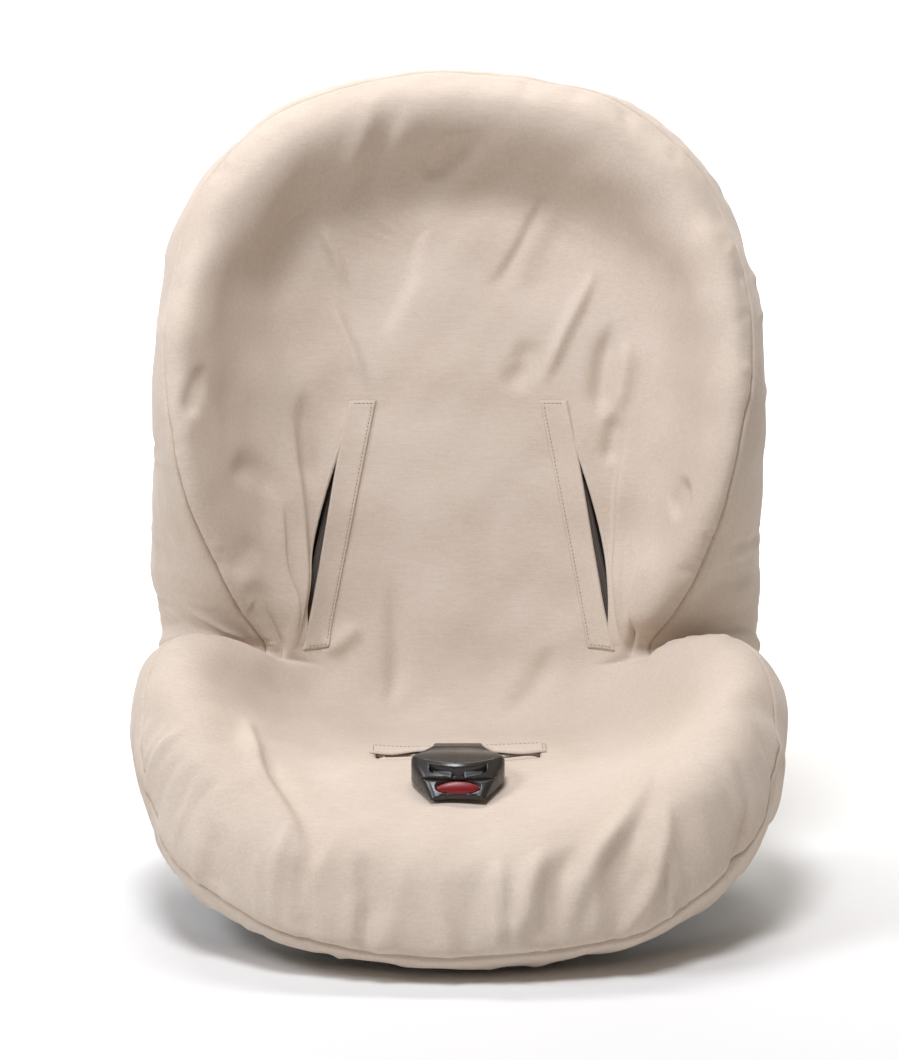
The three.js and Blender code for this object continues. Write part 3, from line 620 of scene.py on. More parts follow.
def open_cell_foam():
    """Polyurethane foam, cut from a block: matt, pale, with cells of about 1 mm."""
    material, tree = start_finish("open_cell_foam", 1.0)
    place = put(tree, "TexCoord").outputs["Object"]
    cells = put(tree, "TexVoronoi", {"Vector": place, "Scale": 1 / (1.2 * MM)}).outputs["Distance"]
    return surface(material, cells, "#B9B3A4", "#E4E0D4", cells, 0.6, 0.5)


def moulded_plastic(name, dark, light, roughness, grain, depth):
    """Injection-moulded plastic with a spark-eroded grain, slightly rubbed in patches.
    grain is the size of the texture in millimetres and depth its height. Rubbed patches are
    a few centimetres across."""
    material, tree = start_finish(name, roughness, IOR=1.5)
    place = put(tree, "TexCoord").outputs["Object"]
    leather = put(tree, "TexNoise", {"Vector": place, "Scale": 1 / (grain * MM), "Detail": 3.0}).outputs["Fac"]
    scuff = put(tree, "TexNoise", {"Vector": place, "Scale": 1 / (45.45 * MM), "Detail": 4.0}).outputs["Fac"]
    rubbed = put(tree, "MapRange", {"Value": scuff, "From Min": 0.5, "From Max": 0.75}).outputs[0]
    polish = {"Value": scuff, "From Min": 0.3, "From Max": 0.7,
              "To Min": roughness + 0.08, "To Max": roughness - 0.06}
    feed(material, "Roughness", put(tree, "MapRange", polish).outputs[0])
    return surface(material, rubbed, dark, light, leather, 0.4, depth)


def polyester_webbing():
    """Seat-belt webbing, herringbone woven from polyester: satin, with ribs along its length.
    The ribs are 1.4 mm apart, and the slanting picks between them 1.1 mm. Its UV is in mm."""
    material, tree = start_finish("polyester_webbing", 0.55, Sheen_Weight=0.25, Sheen_Roughness=0.4)
    uv = put(tree, "UVMap").outputs[0]
    slant = put(tree, "Mapping", {"Vector": uv, "Rotation": (0, 0, math.radians(24))}).outputs[0]
    across = {"Vector": uv, "Scale": WAVE / 1.4, "Distortion": 0.3}
    ribs = put(tree, "TexWave", across, bands_direction="X").outputs["Fac"]
    along = {"Vector": slant, "Scale": WAVE / 1.1, "Distortion": 0.4}
    picks = put(tree, "TexWave", along, bands_direction="Y").outputs["Fac"]
    weave = put(tree, "Math", {0: ribs, 1: picks}, operation="ADD").outputs[0]
    tone = put(tree, "MapRange", {"Value": weave, "From Min": 0.2, "From Max": 1.6}).outputs[0]
    # The dark brown is partly the webbing's own colour and partly painted shade: it is kept dark so that the
    # webbing seen through the slits reads as the shade inside them.
    return surface(material, tone, "#3E352F", "#6B5E54", weave, 0.7, 0.25)


def zinc_plated_steel():
    """Pressed steel, zinc plated: a soft bright metal with spangles of about 5 mm and longer
    rubbing marks."""
    material, tree = start_finish("zinc_plated_steel", 0.32, 1.0)
    place = put(tree, "TexCoord").outputs["Object"]
    spangle = put(tree, "TexVoronoi", {"Vector": place, "Scale": 1 / (4.545 * MM)}).outputs["Distance"]
    marks = put(tree, "TexNoise", {"Vector": place, "Scale": 1 / (16.67 * MM), "Detail": 5.0}).outputs["Fac"]
    gloss = put(tree, "MapRange", {"Value": marks, "To Min": 0.22, "To Max": 0.46}).outputs[0]
    feed(material, "Roughness", gloss)
    return surface(material, spangle, "#A7A9AC", "#C4C5C2", marks, 0.2, 0.05)


def moulded_rubber():
    """Black rubber, moulded: matt, with a fine dusty bloom in patches of about a centimetre."""
    material, tree = start_finish("moulded_rubber", 0.85)
    place = put(tree, "TexCoord").outputs["Object"]
    bloom = put(tree, "TexNoise", {"Vector": place, "Scale": 1 / (11.11 * MM), "Detail": 4.0}).outputs["Fac"]
    return surface(material, bloom, "#141414", "#2C2B2A", bloom, 0.3, 0.2)


LINEN = woven_linen()
THREAD = spun_thread()
HEM_ELASTIC = gathered_elastic()
FOAM = open_cell_foam()
SHELL_POLYPROPYLENE = moulded_plastic("shell_polypropylene", "#2A2B2D", "#3A3B3D", 0.5, 0.9, 0.12)
# The base plastic is darker than the shell's: partly its own charcoal and partly painted shade, so that where
# the base shows under the seat it passes for the seat's shadow.
BASE_POLYPROPYLENE = moulded_plastic("base_polypropylene", "#202123", "#2F3032", 0.55, 0.9, 0.12)
GREY_ACETAL = moulded_plastic("grey_acetal", "#55585A", "#6A6D6E", 0.38, 0.5, 0.04)
BUCKLE_ABS = moulded_plastic("buckle_abs", "#2B2825", "#39342F", 0.27, 0.6, 0.03)
BUTTON_ABS = moulded_plastic("button_abs", "#7E1219", "#8A1A21", 0.36, 0.5, 0.02)
WEBBING = polyester_webbing()
STEEL = zinc_plated_steel()
RUBBER = moulded_rubber()
FINISH_OF_SLOT = {
    "cover": LINEN, "hem": HEM_ELASTIC, "foam": FOAM, "shell_plastic": SHELL_POLYPROPYLENE,
    "base_plastic": BASE_POLYPROPYLENE, "grey_plastic": GREY_ACETAL, "buckle_plastic": BUCKLE_ABS,
    "red_plastic": BUTTON_ABS, "webbing": WEBBING, "steel": STEEL, "rubber": RUBBER,
}
SLOT_OF_NODE = {part["node"]: part["material_slot"] for part in frame["record"]["subparts"]}


# ------------------------------------------------------------------ the sewn cover
STEPS_PER_STATION = 30
SNAP_REACH = 1.35
FAR = 1e3
FACING_WIDTH = 20.0
SEAM_INSET = 2.2
ALL_FOLDS = FOLDS + HIP_NOTCH + mirrored(HIP_NOTCH) + scattered_folds()
SLIT_MIDDLE = (SLOT_HIGH + SLOT_LOW) / 2
SLIT_REACH = (SLOT_HIGH - SLOT_LOW) / 2


def cloth_relief(points):
    """How far the worn cloth stands off the fabric face, before seams and slits."""
    flat = points.reshape(-1, 3)
    return (fold_relief(flat, ALL_FOLDS) + padding_relief(flat)).reshape(points.shape[:-1])


def held_off_shell(relief, r):
    """The deepest fold still lies on the shell or the foam, and doesn't pass into it."""
    room = np.where(r > 0.36, 6.2, 9.5)
    return np.where(relief < 0, room * np.tanh(relief / room), relief)


def cloth_skins(points, normals, relief):
    """Both faces of the padded cloth. Its back keeps its place under all but the deepest folds."""
    front = points + normals * relief[..., None]
    return front, points - normals * np.maximum(COVER_THICK, LEAST_CLOTH - relief)[..., None]


def cover_grid(share):
    """Stations all round the cover, against shares of the way across a panel."""
    stations = np.arange(AROUND * STEPS_PER_STATION) / STEPS_PER_STATION
    return np.meshgrid(stations, share, indexing="ij")


def gathers(t):
    """The uneven ripples that the elastic draws the hem into."""
    return np.sin(t * 46 + 1.7 * np.sin(t * 9.1) + 1.1 * np.sin(t * 3.7))


def slit_share(z):
    """From -1 at a harness slit's lower end to 1 at its upper end."""
    return np.clip((z - SLIT_MIDDLE) / SLIT_REACH, -1, 1)


def slit_edges(z):
    """Inner and outer edge of a harness slit, across from its centre line, at a height."""
    v = slit_share(z)
    return -8 * (1 - v**6), -2 + 12 * (1 - v**2) * (1 - 0.25 * v)


def lip_height(z):
    """How much the slit's outer lip stands proud, most at its middle."""
    return 4.0 * (1 - slit_share(z)**2) ** 0.5


def crotch_edges(x):
    """Front and back edge of the crotch slit at a place across the seat."""
    u = np.clip(np.abs(x) / CROTCH_SLIT_HALF, 0, 1)
    return -77.5 - 15.5 * (1 - u**1.2) + 0.9 * np.sin(x / 6.0), np.full_like(u, -75)


def crotch_dip(x):
    """How deep the cloth in front of the crotch slit is pressed in."""
    return 1.6 + 0.8 * np.cos(x / 9)


def cut_harness_slits(points, normals, inside):
    """Opens both slits in the cloth and gives how much their outer lips stand proud."""
    x, z = points[..., 0], points[..., 2]
    region = (np.abs(x) < 128) & (z > SLOT_LOW) & (z < SLOT_HIGH)
    side = unit(np.array([1.0, 0, 0]) - normals * normals[..., :1])
    side = side / np.maximum(np.abs(side[..., :1]), 0.3) * np.sign(x)[..., None]
    for edge in (0, 1):
        gap = slit_edges(z)[edge] - (np.abs(x) - slot_x(z))
        snap(points, side, np.where(region, gap, FAR))
    inner, outer = slit_edges(z)
    across = np.abs(x) - slot_x(z)
    inside |= region & (across > inner - 0.02) & (across < outer + 0.02)
    lip = np.exp(-(np.maximum(across - outer, 0) / 11) ** 2) * (across > outer - 0.1)
    return np.where(region & (across < outer + 40), lip * lip_height(z), 0)


def cut_crotch_slit(points, normals, inside):
    """Opens the crotch slit and gives how far the cloth in front of it is pressed in."""
    x, y, z = points[..., 0], points[..., 1], points[..., 2]
    region = (np.abs(x) < CROTCH_SLIT_HALF) & (y > -104) & (y < -60) & (z > 105) & (z < 145)
    side = unit(np.array([0, 1.0, 0]) - normals * normals[..., 1:2])
    for edge in (0, 1):
        gap = crotch_edges(x)[edge] - y
        snap(points, side, np.where(region, gap, FAR))
    front, back = crotch_edges(x)
    inside |= region & (y > front - 0.02) & (y < back + 0.02)
    away = np.where(region & (y <= front + 0.1), front - y, FAR)
    return -crotch_dip(x) * np.exp(-((away / 7) ** 2))


def cover_front():
    """The panel that the child sits on: from the spine out to the seam, all the way round."""
    t, s = cover_grid(np.concatenate([np.linspace(0, 0.97, 138), [0.977, 0.984, 0.99, 0.995, 1.0]]))
    r = s * (seam_at(t) - SEAM_GAP)
    points, normals = face(t, r), face_normal(t, r)
    inside = np.zeros(t.shape, bool)
    relief = cut_harness_slits(points, normals, inside) + cut_crotch_slit(points, normals, inside)
    relief = held_off_shell(relief + cloth_relief(points) + seam_relief(t, r), r)
    faces = cloth_skins(points, normals, relief)
    skins = sheet_mesh(*faces, True, ~inside_quads(inside, True), ring_index(*t.shape))
    panel = make_piece("cover_front_panel", "seat", *skins, LINEN, "cover")
    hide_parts("cover_panel")


def cover_side():
    """The band from the seam round the outside to the gathered hem behind the shell's rim."""
    t, s = cover_grid(np.concatenate([[0, 0.012, 0.025, 0.045], np.linspace(0.07, 1, 50)]))
    start = seam_at(t) + SEAM_GAP
    r = start + s * (HEM_R - start)
    points, normals = face(t, r), face_normal(t, r)
    gather = gathers(t) * smooth(0.88, 1.0, s)
    relief = cloth_relief(points) + seam_relief(t, r) + 0.4 * gather - 1.6 * smooth(0.9, 1.0, s)
    skins = sheet_mesh(*cloth_skins(points, normals, held_off_shell(relief, r)), True)
    band = make_piece("cover_side_panel", "seat", *skins, LINEN, "cover")
    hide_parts("cover_side_band")


def hem_casing():
    """The cover's rolled hem, drawn up by the elastic inside it."""
    t = np.arange(AROUND * STEPS_PER_STATION) / STEPS_PER_STATION
    r = np.full_like(t, HEM_R + 0.012)
    out = face_normal(t, r)
    centre = face(t, r) - out * 6.4
    inward = unit(face(t, r + 0.02) - face(t, r - 0.02))
    rings = rings_round(centre, 2.4 + 0.35 * gathers(t), out, inward, 14)
    casing = make_piece("hem_casing", "seat", *tube_mesh(rings, True), HEM_ELASTIC, "hem")
    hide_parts("hem_elastic")


def edge_roll(distance, radius):
    """Height of a rounded edge, as a share, at a distance in from it."""
    k = 1 - np.clip(distance / radius, 0, 1)
    return np.sqrt(np.maximum(1 - k * k, 0))


def facing_thickness(edge, fold, *seams):
    """Thickness of a folded strip: rounded at its edges and drawn in along its seams."""
    thick = 0.25 + fold * edge_roll(edge, 1.6)
    for away in seams:
        thick = thick - 0.4 * np.exp(-((away / 0.7) ** 2))
    return np.maximum(thick, 0.2)


def facing(name, node, base, normal, lift, thick, inset, way=1):
    """A folded strip that lies on the cover, sewn along one side and both ends."""
    front = base + normal * (lift + thick)[..., None]
    back = base + normal * lift[..., None]
    skins = sheet_mesh(front[:, ::way], back[:, ::way], False)
    strip = make_piece(name, "seat", *skins, LINEN, "cover")
    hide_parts(node)
    rows = [[grid[3, 4:-4], grid[3:-2, inset], grid[3:-2, -1 - inset]] for grid in (front, normal)]
    stitch_row(name.replace("facing", "stitches"), *rows)


def turned_edge(name, base, normal, lift, run, thick, taper):
    """A rolled edge of the cloth along a slit, thinner towards its two ends."""
    path = base + normal * lift[:, None]
    to_end = np.minimum(run - run[0], run[-1] - run)
    radius = thick * (0.3 + 0.7 * edge_roll(to_end + 0.5, taper))
    roll = make_piece(name, "seat", *rope(path, normal, radius), LINEN, "cover")


def slot_facing(side, sign):
    """The folded strip sewn along a harness slit. Its outer edge is free and stands open."""
    width, length = FACING_WIDTH, FACING_HIGH - FACING_LOW
    p, q = np.meshgrid(np.linspace(0, 1, 27), np.linspace(0, 1, 150), indexing="ij")
    z = FACING_HIGH - length * q
    free_edge = 3.0 + 1.2 * np.sin(q * 5.2 + 0.6)
    across = -17 + (17 + free_edge) * p
    base, normal = on_back(sign * (slot_x(z) + across), z)
    lift = cloth_relief(base) * (1 - 0.4 * p) + 0.5
    lift = lift + (2.4 * np.sin(math.pi * np.clip(q * 1.05, 0, 1)) + 0.5 * np.sin(q * 17)) * p**2
    edge = np.minimum.reduce([p * width, (1 - p) * width, q * length, (1 - q) * length])
    long_seam = np.minimum(np.abs(p * width - SEAM_INSET), (1 - q) * length)
    end_seams = np.abs(np.minimum(q, 1 - q) * length - 2.4)
    thick = facing_thickness(edge, 1.7, long_seam, end_seams)
    facing(f"slot_facing_{side}", f"slot_flap_{side}", base, normal, lift, thick, 2, -sign)


def slot_binding(side, sign):
    """The turned edge of the cloth along the outside of a harness slit."""
    z = np.linspace(SLOT_LOW + 6, SLOT_HIGH - 6, 110)
    base, normal = on_back(sign * (slot_x(z) + slit_edges(z)[1] + 1.0), z)
    lift = cloth_relief(base) + lip_height(z) - 1.7
    turned_edge(f"slot_edge_{side}", base, normal, lift, z, 2.0, 12)


def crotch_binding():
    """The turned edge of the cloth in front of the crotch slit."""
    x = np.linspace(-CROTCH_SLIT_HALF + 4, CROTCH_SLIT_HALF - 4, 120)
    base, normal = on_seat(x, crotch_edges(x)[0] + 0.8)
    lift = cloth_relief(base) - crotch_dip(x) - 1.5
    turned_edge("crotch_edge", base, normal, lift, x, 3.1, 10)


def crotch_facing():
    """The strip sewn behind the crotch slit, its free edge riding over the webbing."""
    width, half = FACING_WIDTH, CROTCH_SLIT_HALF + 3
    p, q = np.meshgrid(np.linspace(0, 1, 24), np.linspace(-1, 1, 150), indexing="ij")
    x = half * q
    y = -57 - (19 + 1.6 * np.cos(x / 7.5)) * p
    base, normal = on_seat(x, y)
    wave = 7.0 * np.exp(-((x / 21) ** 6)) + 0.9 * (1 - np.cos(x / 8.0)) * (1 - q**4)
    lift = cloth_relief(base) + 0.2 + wave * p**2
    to_end = (1 - np.abs(q)) * half
    edge = np.minimum.reduce([p * width, (1 - p) * width, to_end])
    seam = np.minimum(np.abs(p * width - SEAM_INSET), np.abs(to_end - 2.4))
    thick = facing_thickness(edge, 1.6, seam)
    facing("crotch_facing", "buckle_slot_flap", base, normal, lift, thick, 3)


def stitch_row(name, lines, normals, pitch=3.1, length=2.2, radius=0.32, fineness=0.25):
    """Lock stitches as real thread: short arched lengths that dip into the cloth at both ends."""
    parts = []
    step, reach = int(pitch / fineness), int(length / fineness)
    for line, out in zip(lines, normals):
        run = run_along(line)
        places = np.arange(0, run[-1], fineness)
        fine, ups = read_along(places, run, line), unit(read_along(places, run, out))
        for start in range(0, len(fine) - reach, step):
            stitch = slice(start, start + reach + 1, 2)
            at, up = fine[stitch], ups[stitch]
            arch = 0.42 * np.sin(np.linspace(0, math.pi, len(at))) - 0.12
            parts.append(rope(at + up * arch[:, None], up, radius, 6))
    make_piece(name, "seat", *joined(parts), THREAD, "cover")


# ------------------------------------------------------------------ foam pads under the cover
def foam_slots(points):
    """The passages through the pads behind the two harness slits and the crotch slit."""
    x, y, z = points[..., 0], points[..., 1], points[..., 2]
    harness = (np.abs(np.abs(x) - slot_x(z) - 1) < 13) & (z > SLOT_LOW) & (z < SLOT_HIGH) & (y > 20)
    return harness | ((np.abs(x) < CROTCH_SLIT_HALF) & (y > -98) & (y < -68) & (z < 150))


def foam_pad(node, t_from, t_to, share_from, share_to, near):
    """A pad between cover and shell. Its edges are rounded over, as cut foam beds down."""
    count = int((t_to - t_from) * 12) + 1
    stations = np.linspace(t_from, t_to, count)
    t, s = np.meshgrid(stations, np.linspace(share_from, share_to, 60), indexing="ij")
    r = s * seam_at(t)
    points, normals = face(t, r), face_normal(t, r)
    far = shell_depth(r) - FOAM_CLEAR
    ends = np.minimum(t - t_from, t_to - t) * 60
    sides = np.minimum(s - share_from + (0.05 if share_from == 0 else 0), share_to - s) * 260
    full = 0.15 + 0.85 * edge_roll(np.minimum(ends, sides), 9)
    front = points - normals * (far - (far - near) * full)[..., None]
    back = points - normals * far[..., None]
    index = None
    if share_from == 0:
        index = numbered(*t.shape)
        for i in range(count // 2):
            index[count - 1 - i, 0] = index[i, 0]
    keep = ~inside_quads(foam_slots(points), False)
    pad = make_piece(f"{node}_pad", "seat", *sheet_mesh(front, back, False, keep, index), FOAM, "foam")
    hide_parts(node)


def foam_pads():
    """Back and seat pads, and the firmer strips in the wings and the seat's bolsters."""
    foam_pad("back_foam", -6.5, 6.5, 0, 0.5, 10.8)
    foam_pad("seat_foam", 7.5, 16.5, 0, 0.5, 10.8)
    for name, first, last in (("wing_foam", 1.5, 6), ("bolster_foam", 7.5, 10.5)):
        foam_pad(f"{name}_right", first, last, 0.51, 0.71, 6.5)
        foam_pad(f"{name}_left", AROUND - last, AROUND - first, 0.51, 0.71, 6.5)


# ------------------------------------------------------------------ harness webbing
def webbing_band(name, path, sides, width, thick, body="seat"):
    """Woven webbing along a path: thin rounded selvedges, a faint bow, and its own UV in mm."""
    run = run_along(path)
    at = np.linspace(0, run[-1], max(int(run[-1] / 2), 8))
    line = read_along(at, run, path)
    kernel = np.ones(5) / 5
    for _ in range(2):
        padded = np.vstack([line[:1]] * 2 + [line] + [line[-1:]] * 2)
        line = np.stack([np.convolve(padded[:, k], kernel, "valid") for k in range(3)], -1)
    ahead = unit(np.gradient(line, axis=0))
    across = read_along(at, run, sides)
    across = unit(across - ahead * np.sum(across * ahead, 1, keepdims=True))
    up = np.cross(across, ahead)
    u = np.linspace(-1, 1, 25)
    body_thick = thick / 2 * (0.35 + 0.65 * edge_roll((1 - np.abs(u)) * width / 2, 1.0))
    flat = line[:, None] + across[:, None] * (u * width / 2)[None, :, None]
    front = flat + up[:, None] * body_thick[None, :, None]
    back = flat - up[:, None] * body_thick[None, :, None]
    band = make_piece(name, body, *sheet_mesh(front, back, False), WEBBING, "webbing")
    local = np.stack(np.broadcast_arrays(u * width / 2, at[:, None]), -1).reshape(-1, 2)
    local = np.concatenate([local, local])
    layer = band.data.uv_layers.new(name="UVMap")
    corners = np.zeros(len(band.data.loops), int)
    band.data.loops.foreach_get("vertex_index", corners)
    layer.data.foreach_set("uv", local[corners].ravel())
    return band


def shoulder_webbing(side, sign):
    """From the hip anchor up behind the slit, through the shell, and down its back to the bar."""
    def strap_x(z):
        return sign * (slot_x(np.asarray(z, float)) - 6)
    heights = np.array([168, 168, 172, 179, *np.linspace(190, 360, 7), 369, 372, 370])
    depths = np.array([32, 12, 7, 5.7, *[5.7] * 7, 8.4, 15, 21.6])
    at, out = on_back(strap_x(heights), heights)
    rear_z = np.array([356, 340, 316, 292, 262.0])
    rear, rear_out = on_back(np.full(5, sign * 74.0), rear_z)
    rear_depths = np.array([30, 36, 36, 31, 24.0])
    path = np.vstack([at - out * depths[:, None], rear - rear_out * rear_depths[:, None]])
    spots = np.clip(path[:, 2], 170, 360)
    ahead, _ = on_back(path[:, 0] + 4, spots)
    behind, _ = on_back(path[:, 0] - 4, spots)
    band = webbing_band(f"shoulder_webbing_{side}", path, unit(ahead - behind), STRAP_WIDTH, STRAP_THICK)
    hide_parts(f"shoulder_strap_{side}")


def crotch_webbing():
    """The short strap from the anchor plate up through the slit and into the buckle's neck."""
    path = np.array([[0, -79, 92.5], [0, -78.5, 108], [0, -78, 120], [0, -78.5, 126], [0, -81, 129.6],
                     [0, -86, 130.6], [0, -92, 129.8], [0, -98, 128.4], [0, -104, 127.0]])
    sides = np.tile([1.0, 0, 0], (len(path), 1))
    band = webbing_band("crotch_webbing", path, sides, CROTCH_WIDTH, 2.6, None)
    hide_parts("crotch_strap", "buckle_sleeve")
    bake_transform(band)


# ------------------------------------------------------------------ buckle
# Along is measured forward from the strap's pivot, and heights up from the buckle's underside.
BUCKLE_BACK = 14.5
BUCKLE_FRONT = 79.5
RIDGE_HEIGHT = 20.5
REAR_HEIGHT = 10.8
FRONT_EDGE_HEIGHT = 3.5
SPLIT_HEIGHT = 11.0
SLOPE_POWER = 1.15
BUTTON_ALONG = 73.7
BUTTON_HALF_WIDTH = 15.2
BUTTON_HALF_LENGTH = 3.0


def buckle_point(x, along, height):
    """From the buckle's own plan (across, forward, up) to its place on the cushion."""
    c, s = math.cos(BUCKLE_SLOPE), math.sin(BUCKLE_SLOPE)
    x, along, height = np.broadcast_arrays(x, along, height)
    return BUCKLE_PIVOT + np.stack([x, -along * c - height * s, -along * s + height * c], -1)


def buckle_half_width(along):
    """Six-sided plan: narrow at the strap, widest past the middle, narrow in front."""
    spread = np.linspace(-3.5, 3.5, 9)
    plan = [np.interp(along + d, [15, 41, 51, 80], [17.5, 33, 33, 18.5]) for d in spread]
    return np.mean(plan, 0)


def ridge_along(x):
    """Where the ridge crosses the buckle: furthest forward at its middle."""
    return 60 - 15 * (np.abs(x) / 32) ** 2


def case_top(x, along):
    """The crowned top, which rises from the strap end to the ridge."""
    return REAR_HEIGHT + (RIDGE_HEIGHT - REAR_HEIGHT) * smooth(10, 50, along) - 1.2 * (x / 30) ** 2


def case_height(x, along, half):
    """Outer height of the case: a crowned top up to the ridge, then the sloping front."""
    ridge = ridge_along(x)
    fall = np.clip((along - ridge) / (BUCKLE_FRONT - ridge), 0, 1)
    peak = case_top(x, ridge)
    slope = peak - (peak - FRONT_EDGE_HEIGHT) * fall**SLOPE_POWER
    height = np.where(along < ridge, case_top(x, along), slope)
    rim = edge_roll(np.maximum(half - np.abs(x), 0), 4.0)
    rear = edge_roll(along - BUCKLE_BACK + 0.4, 3.0)
    return height - 3.2 * (1 - rim) - 2.5 * (1 - rear)


def pocket_floor(x, along, height):
    """The dark recess under the ridge where the two harness tongues go in."""
    ridge = ridge_along(x)
    into = smooth(2.6, 3.4, along - ridge) * smooth(20.6, 19.6, np.abs(x)) * smooth(8.6, 7.8, along - ridge)
    return height - into * np.maximum(height - 11.7, 0)


def button_seat(x, along, height):
    """An oval dish that the button sits in, with room behind it for the press."""
    dish = np.sqrt((x / 16.2) ** 2 + ((along - 73.8) / 4.2) ** 2)
    room = np.sqrt((x / 16.6) ** 2 + ((along - 72.8) / 5.6) ** 2)
    pressed = smooth(1.0, 0.92, room) * np.maximum(height - 8.2, 0)
    return height - np.maximum(1.5 * smooth(1.0, 0.92, dish), pressed)


def case_half(name, node, x, along, top, bottom):
    """One moulded half of the case between two heights."""
    skins = sheet_mesh(buckle_point(-x, along, top), buckle_point(-x, along, bottom), False)
    half = make_piece(name, "buckle", *skins, BUCKLE_ABS, "buckle_plastic", 50)
    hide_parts(node)


def buckle_case():
    """The two moulded halves. The upper one ends where the sloping front meets their parting line."""
    u, v = np.meshgrid(np.linspace(-1, 1, 141), np.linspace(0, 1, 150), indexing="ij")
    straight = BUCKLE_BACK + (BUCKLE_FRONT - BUCKLE_BACK) * v
    half = buckle_half_width(straight)
    x = u * half
    along = straight - 2.6 * v**10 * (1 - u * u)
    outer = case_height(x, along, half)
    low = np.minimum(button_seat(x, along, outer), SPLIT_HEIGHT - 0.15)
    bottom = np.full_like(low, 1.0) + 1.2 * (1 - edge_roll(half - np.abs(x), 2.5))
    case_half("buckle_case_lower", "buckle_lower_shell", x, along, np.maximum(low, bottom + 0.6), bottom)
    ridge = ridge_along(x)
    share = ((RIDGE_HEIGHT - SPLIT_HEIGHT - 3.5) / (RIDGE_HEIGHT - FRONT_EDGE_HEIGHT)) ** (1 / SLOPE_POWER)
    split = ridge + (BUCKLE_FRONT - ridge) * share
    along = BUCKLE_BACK + (split - BUCKLE_BACK) * v
    half = buckle_half_width(along)
    x = u * half
    outer = np.maximum(pocket_floor(x, along, case_height(x, along, half)), SPLIT_HEIGHT + 0.5)
    floor = np.full_like(outer, SPLIT_HEIGHT + 0.1)
    case_half("buckle_case_upper", "buckle_upper_shell", x, along, outer, floor)


def tongue_plates():
    """Two grey mouths, one for each harness tongue, sloping down towards the front."""
    u, v = np.meshgrid(np.linspace(-1, 1, 30), np.linspace(0, 1, 14), indexing="ij")
    parts = []
    for sign in (-1, 1):
        x = sign * 10.4 + u * 7.4 * (1 - 0.25 * v) + sign * (1 - v) * 1.2
        along = ridge_along(x) + 3.2 + 4.0 * v - 0.12 * (np.abs(x) - 3)
        edge = np.minimum((1 - np.abs(u)) * 7.4, np.minimum(v, 1 - v) * 4.0)
        groove = 0.9 * np.exp(-((v - 0.5) / 0.16) ** 2) * (np.abs(u) < 0.8)
        height = 15.4 - 3.2 * v - 0.7 * (1 - edge_roll(edge, 1.0)) - groove
        skins = buckle_point(-x, along, height), buckle_point(-x, along, height - 1.4)
        parts.append(sheet_mesh(*skins, False))
    # The mouths' grey, lighter than the case, is partly the acetal's own colour and partly a painted
    # highlight, standing for the light they catch inside the dark pocket.
    plates = make_piece("tongue_mouths", "buckle", *joined(parts), GREY_ACETAL, "grey_plastic", 50)
    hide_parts("tongue_guide")


def press_button():
    """The red oval button, domed, on the buckle's sloping front."""
    turns = np.linspace(0, 2 * math.pi, 72, endpoint=False)
    turn, ring = np.meshgrid(turns, np.linspace(0, 1, 26), indexing="ij")
    x = BUTTON_HALF_WIDTH * ring * np.cos(turn)
    along = BUTTON_ALONG + BUTTON_HALF_LENGTH * ring * np.sin(turn)
    base = case_height(x, along, buckle_half_width(along)) - 1.2
    dome = 2.0 * np.sqrt(np.maximum(1 - ring**2.6, 0)) + 0.2
    front = buckle_point(x, along + dome * 0.25, base + dome)
    back = buckle_point(x, along, base - 0.9)
    index = numbered(*ring.shape)
    index[:, 0] = 0
    skins = sheet_mesh(front, back, True, index=index)
    button = make_piece("press_button", "button", *skins, BUTTON_ABS, "red_plastic", 60)
    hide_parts("release_button")


# ------------------------------------------------------------------ the moulded shell
def shell_slots(points):
    """The passages for the two shoulder straps and the crotch strap."""
    x, y, z = points[..., 0], points[..., 1], points[..., 2]
    shoulder = (np.abs(np.abs(x) - (slot_x(370) - 10)) < 16) & (z > 362) & (z < 379) & (y > 60) & (y < 170)
    return shoulder | ((np.abs(x) < 24) & (y > -87) & (y < -73) & (z > 85) & (z < 130))


def shell_moulding():
    """The moulded bucket, 4 mm thick, with its rim turned up and ribs on its back."""
    t, r = np.meshgrid(np.arange(AROUND * 20) / 20, np.linspace(0, 1, 120), indexing="ij")
    points, normals = face(t, r), face_normal(t, r)
    depth = shell_depth(r)
    turned = 2.5 * smooth(0.975, 1.0, r)
    front = points - normals * (depth - turned)[..., None]
    back = points - normals * (depth + SHELL_THICK)[..., None]
    keep = ~inside_quads(shell_slots(points), True)
    skins = sheet_mesh(front, back, True, keep, ring_index(*t.shape))
    shell = make_piece("shell_moulding", "seat", *skins, SHELL_POLYPROPYLENE, "shell_plastic", 60)
    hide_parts("shell")
    shell_ribs()


def rib(x, z, reach, thick=3.0):
    """A stiffening rib on the back of the shell, thinner at its rounded tip."""
    foot, out = on_back(x, z)
    upright = abs(float(z[-1] - z[0])) > abs(float(x[-1] - x[0]))
    side = np.array([1.0, 0, 0]) if upright else np.array([0, 0, 1.0])
    down = np.linspace(0, 1, 12)
    root, tip = SHELL_DEPTH_SEAT + SHELL_THICK - 1.0, SHELL_DEPTH_SEAT + SHELL_THICK + reach
    depth = root + (tip - root)[:, None] * down[None]
    middle = foot[:, None] - out[:, None] * depth[..., None]
    half = thick / 2 * (1 - 0.25 * down) * (0.25 + 0.75 * edge_roll((1 - down) * (tip - root).mean(), 1.5))
    front, back = middle + side * half[None, :, None], middle - side * half[None, :, None]
    return sheet_mesh(front, back, False)


def shell_ribs():
    """Two upright ribs and two cross bars on the back of the shell."""
    z = np.linspace(190, 440, 40)
    reach = 10 + 16 * np.sin((z - 180) / 270 * math.pi)
    parts = [rib(np.full(40, x), z, reach) for x in (-128.0, 128.0)]
    x = np.linspace(-127, 127, 60)
    parts += [rib(x, np.full(60, height), np.full(60, 7.0)) for height in (300.0, 400.0)]
    make_piece("shell_ribs", "seat", *joined(parts), SHELL_POLYPROPYLENE, "shell_plastic", 40)


